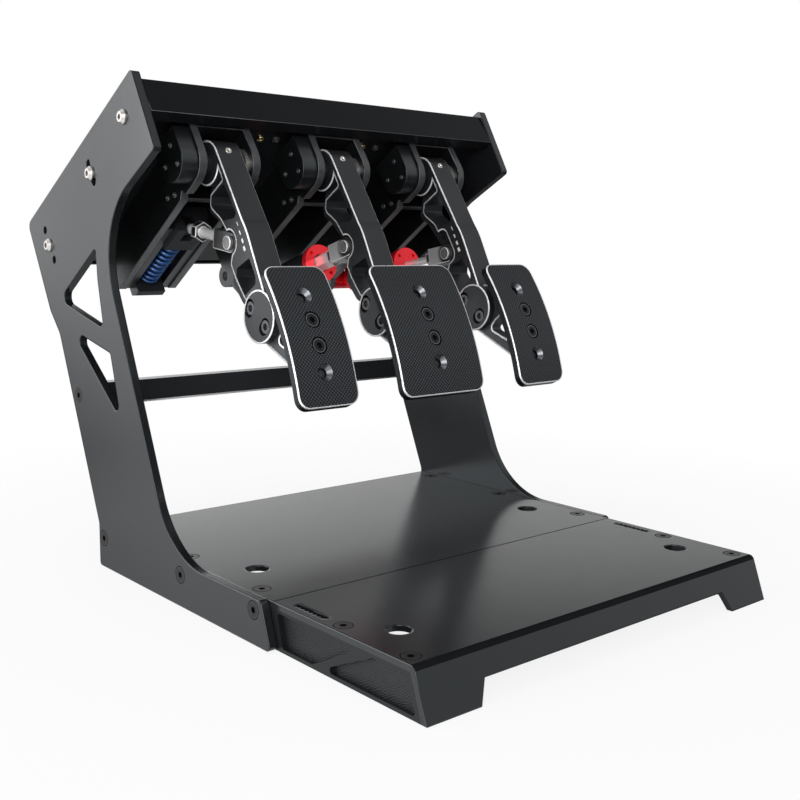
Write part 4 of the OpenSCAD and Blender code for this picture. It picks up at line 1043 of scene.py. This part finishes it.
class PEDALSET_OT_stage(bpy.types.Operator):
    """Set the floor, the soft lights, the world and the camera"""

    bl_idname = "pedalset.stage"
    bl_label = "Stage"

    def execute(self, context):
        scene = context.scene
        scene.view_settings.view_transform = "Standard"
        self.floor()
        self.world(scene)
        self.lamp("left", (-1.9, 1.5, 0.9), 0.2, 1.8, 34)
        self.lamp("front", (-1.5, -1.5, 0.8), 0.2, 1.3, 28)
        self.lamp("top", (-0.3, 0.2, 2.2), 0.1, 1.6, 10)
        self.camera(scene)
        return {"FINISHED"}

    def floor(self):
        """Pale floor: lit and shaded by the lamps, and white to the camera away from the object.
        Gloss sees it bright to the left and dim elsewhere."""
        count = 13
        spread = np.linspace(-6, 6, count)
        across, back = np.meshgrid(spread, spread, indexing="ij")
        points = np.stack([across, back, np.full_like(across, -0.0004)], -1).reshape(-1, 3)
        mesh = bpy.data.meshes.new("floor")
        mesh.from_pydata(points.tolist(), [], grid_faces(count, count, False, False).tolist())
        nodes = Nodes("pale_floor")
        colour = finishes().floor
        nodes.tint(nodes.noise(3, 2), shade(colour, 0.99), colour)
        nodes.set(Roughness=0.7, Specular_IOR_Level=0.2)
        reach = nodes.length(nodes.place)
        path = nodes.add("ShaderNodeLightPath").outputs
        white, mirrored = nodes.add("ShaderNodeEmission"), nodes.add("ShaderNodeEmission")
        away = nodes.between(reach, 0.86, 1.0, 0.2, 0.65)
        near = nodes.between(reach, 0.35, 0.02, 0.36, 0.66)
        beside = nodes.between(nodes.along((-0.95, -0.31, 0)), 0.05, 1.5, 0.08, 0.32)
        nodes.link(nodes.math("ADD", near, beside), mirrored.inputs["Strength"])
        shader = nodes.shader.outputs["BSDF"]
        for fac, other in ((nodes.math("MULTIPLY", away, path["Is Camera Ray"]), white),
                           (path["Is Glossy Ray"], mirrored)):
            mix = nodes.add("ShaderNodeMixShader", {"Fac": fac, 1: shader, 2: other.outputs["Emission"]})
            shader = mix.outputs["Shader"]
        nodes.link(shader, nodes.tree.nodes["Material Output"].inputs["Surface"])
        mesh.materials.append(nodes.material)
        floor = bpy.data.objects.new("floor", mesh)
        bpy.context.scene.collection.objects.link(floor)

    def world(self, scene):
        """White to the camera and to glass. Gloss sees four walls that fade to their sides: behind
        the left side, low behind the right side, and high in front on both sides. The light that
        falls on the object is softer."""
        scene.world = bpy.data.worlds.new("studio")
        scene.world.use_nodes = True
        nodes = Graph(scene.world.node_tree)
        place = nodes.add("ShaderNodeTexCoord").outputs["Generated"]
        walls = 0.0
        for towards, start, end, level in (
                ((-0.6, 0.8, 0), 0.1, 0.8, 1.42), ((0.62, 0.6, -0.5), 0.6, 0.7, 0.95),
                ((0.64, -0.6, 0.48), 0.7, 0.96, 0.9), ((-0.6, -0.7, 0.4), 0.75, 0.95, 1.1)):
            wall = nodes.between(nodes.dot(place, towards), 0.02, level, start, end, "SMOOTHSTEP")
            walls = nodes.math("ADD", walls, wall)
        path = nodes.add("ShaderNodeLightPath").outputs
        level = 0.32
        for ray, seen in (("Is Glossy Ray", walls), ("Is Transmission Ray", 1.0), ("Is Camera Ray", 1.0)):
            sockets = {"Factor": path[ray], "A": level, "B": seen}
            level = nodes.add("ShaderNodeMix", sockets).outputs["Result"]
        back = nodes.tree.nodes["Background"]
        back.inputs["Color"].default_value = (1, 1, 1, 1)
        nodes.link(level, back.inputs["Strength"])

    def lamp(self, name, place, aim, side, power):
        """Square lamp that looks at a height over the middle of the floor."""
        data = bpy.data.lights.new(name, "AREA")
        data.size = side
        data.energy = power
        lamp = bpy.data.objects.new(name, data)
        lamp.location = place
        way = Vector((0, 0, aim)) - Vector(place)
        lamp.rotation_euler = way.to_track_quat("-Z", "Y").to_euler()
        bpy.context.scene.collection.objects.link(lamp)

    def camera(self, scene):
        """Camera from its place, azimuth, elevation and roll."""
        focal_pixels, image_pixels = 1084.32, 800
        data = bpy.data.cameras.new("camera")
        data.sensor_width = 36.0
        data.lens = data.sensor_width * focal_pixels / image_pixels
        cam = bpy.data.objects.new("camera", data)
        scene.collection.objects.link(cam)
        a, e, r = (math.radians(x) for x in (-40.91, 8.57, 0.81))
        back = Vector((math.sin(a) * math.cos(e), -math.cos(a) * math.cos(e), math.sin(e)))
        right = Vector((math.cos(a), math.sin(a), 0))
        up = back.cross(right)
        c, s = math.cos(r), math.sin(r)
        right, up = c * right + s * up, c * up - s * right
        turn = Matrix((right, up, back)).transposed().to_4x4()
        cam.matrix_world = Matrix.Translation((-0.52205, -0.63042, 0.25186)) @ turn
        scene.camera = cam


STEPS = (
    PEDALSET_OT_finish_solids,
    PEDALSET_OT_soft_edges,
    PEDALSET_OT_bright_edges,
    PEDALSET_OT_springs,
    PEDALSET_OT_elastomers,
    PEDALSET_OT_small_screws,
    PEDALSET_OT_screw_rims,
    PEDALSET_OT_pad_sinks,
    PEDALSET_OT_arm_marks,
    PEDALSET_OT_stage,
)


class PEDALSET_PT_panel(bpy.types.Panel):
    """Lists the steps that dress the pedal set"""

    bl_label = "Pedal set"
    bl_idname = "PEDALSET_PT_panel"
    bl_space_type = "VIEW_3D"
    bl_region_type = "UI"
    bl_category = "Pedal set"

    def draw(self, context):
        for step in STEPS:
            self.layout.operator(step.bl_idname)
        for group in (context.scene.pedal_sizes, context.scene.pedal_finishes):
            for key in group.__annotations__:
                self.layout.prop(group, key)


CLASSES = (PedalSizes, PedalFinishes, *STEPS, PEDALSET_PT_panel)


def register():
    for cls in CLASSES:
        bpy.utils.register_class(cls)
    bpy.types.Scene.pedal_sizes = PointerProperty(type=PedalSizes)
    bpy.types.Scene.pedal_finishes = PointerProperty(type=PedalFinishes)


def unregister():
    del bpy.types.Scene.pedal_finishes
    del bpy.types.Scene.pedal_sizes
    for cls in reversed(CLASSES):
        bpy.utils.unregister_class(cls)


def main():
    register()
    bpy.ops.pedalset.finish_solids()
    bpy.ops.pedalset.soft_edges()
    bpy.ops.pedalset.bright_edges()
    bpy.ops.pedalset.springs()
    bpy.ops.pedalset.elastomers()
    bpy.ops.pedalset.small_screws()
    bpy.ops.pedalset.screw_rims()
    bpy.ops.pedalset.pad_sinks()
    bpy.ops.pedalset.arm_marks()
    bpy.ops.pedalset.stage()
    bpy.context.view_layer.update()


if __name__ == "__main__":
    main()
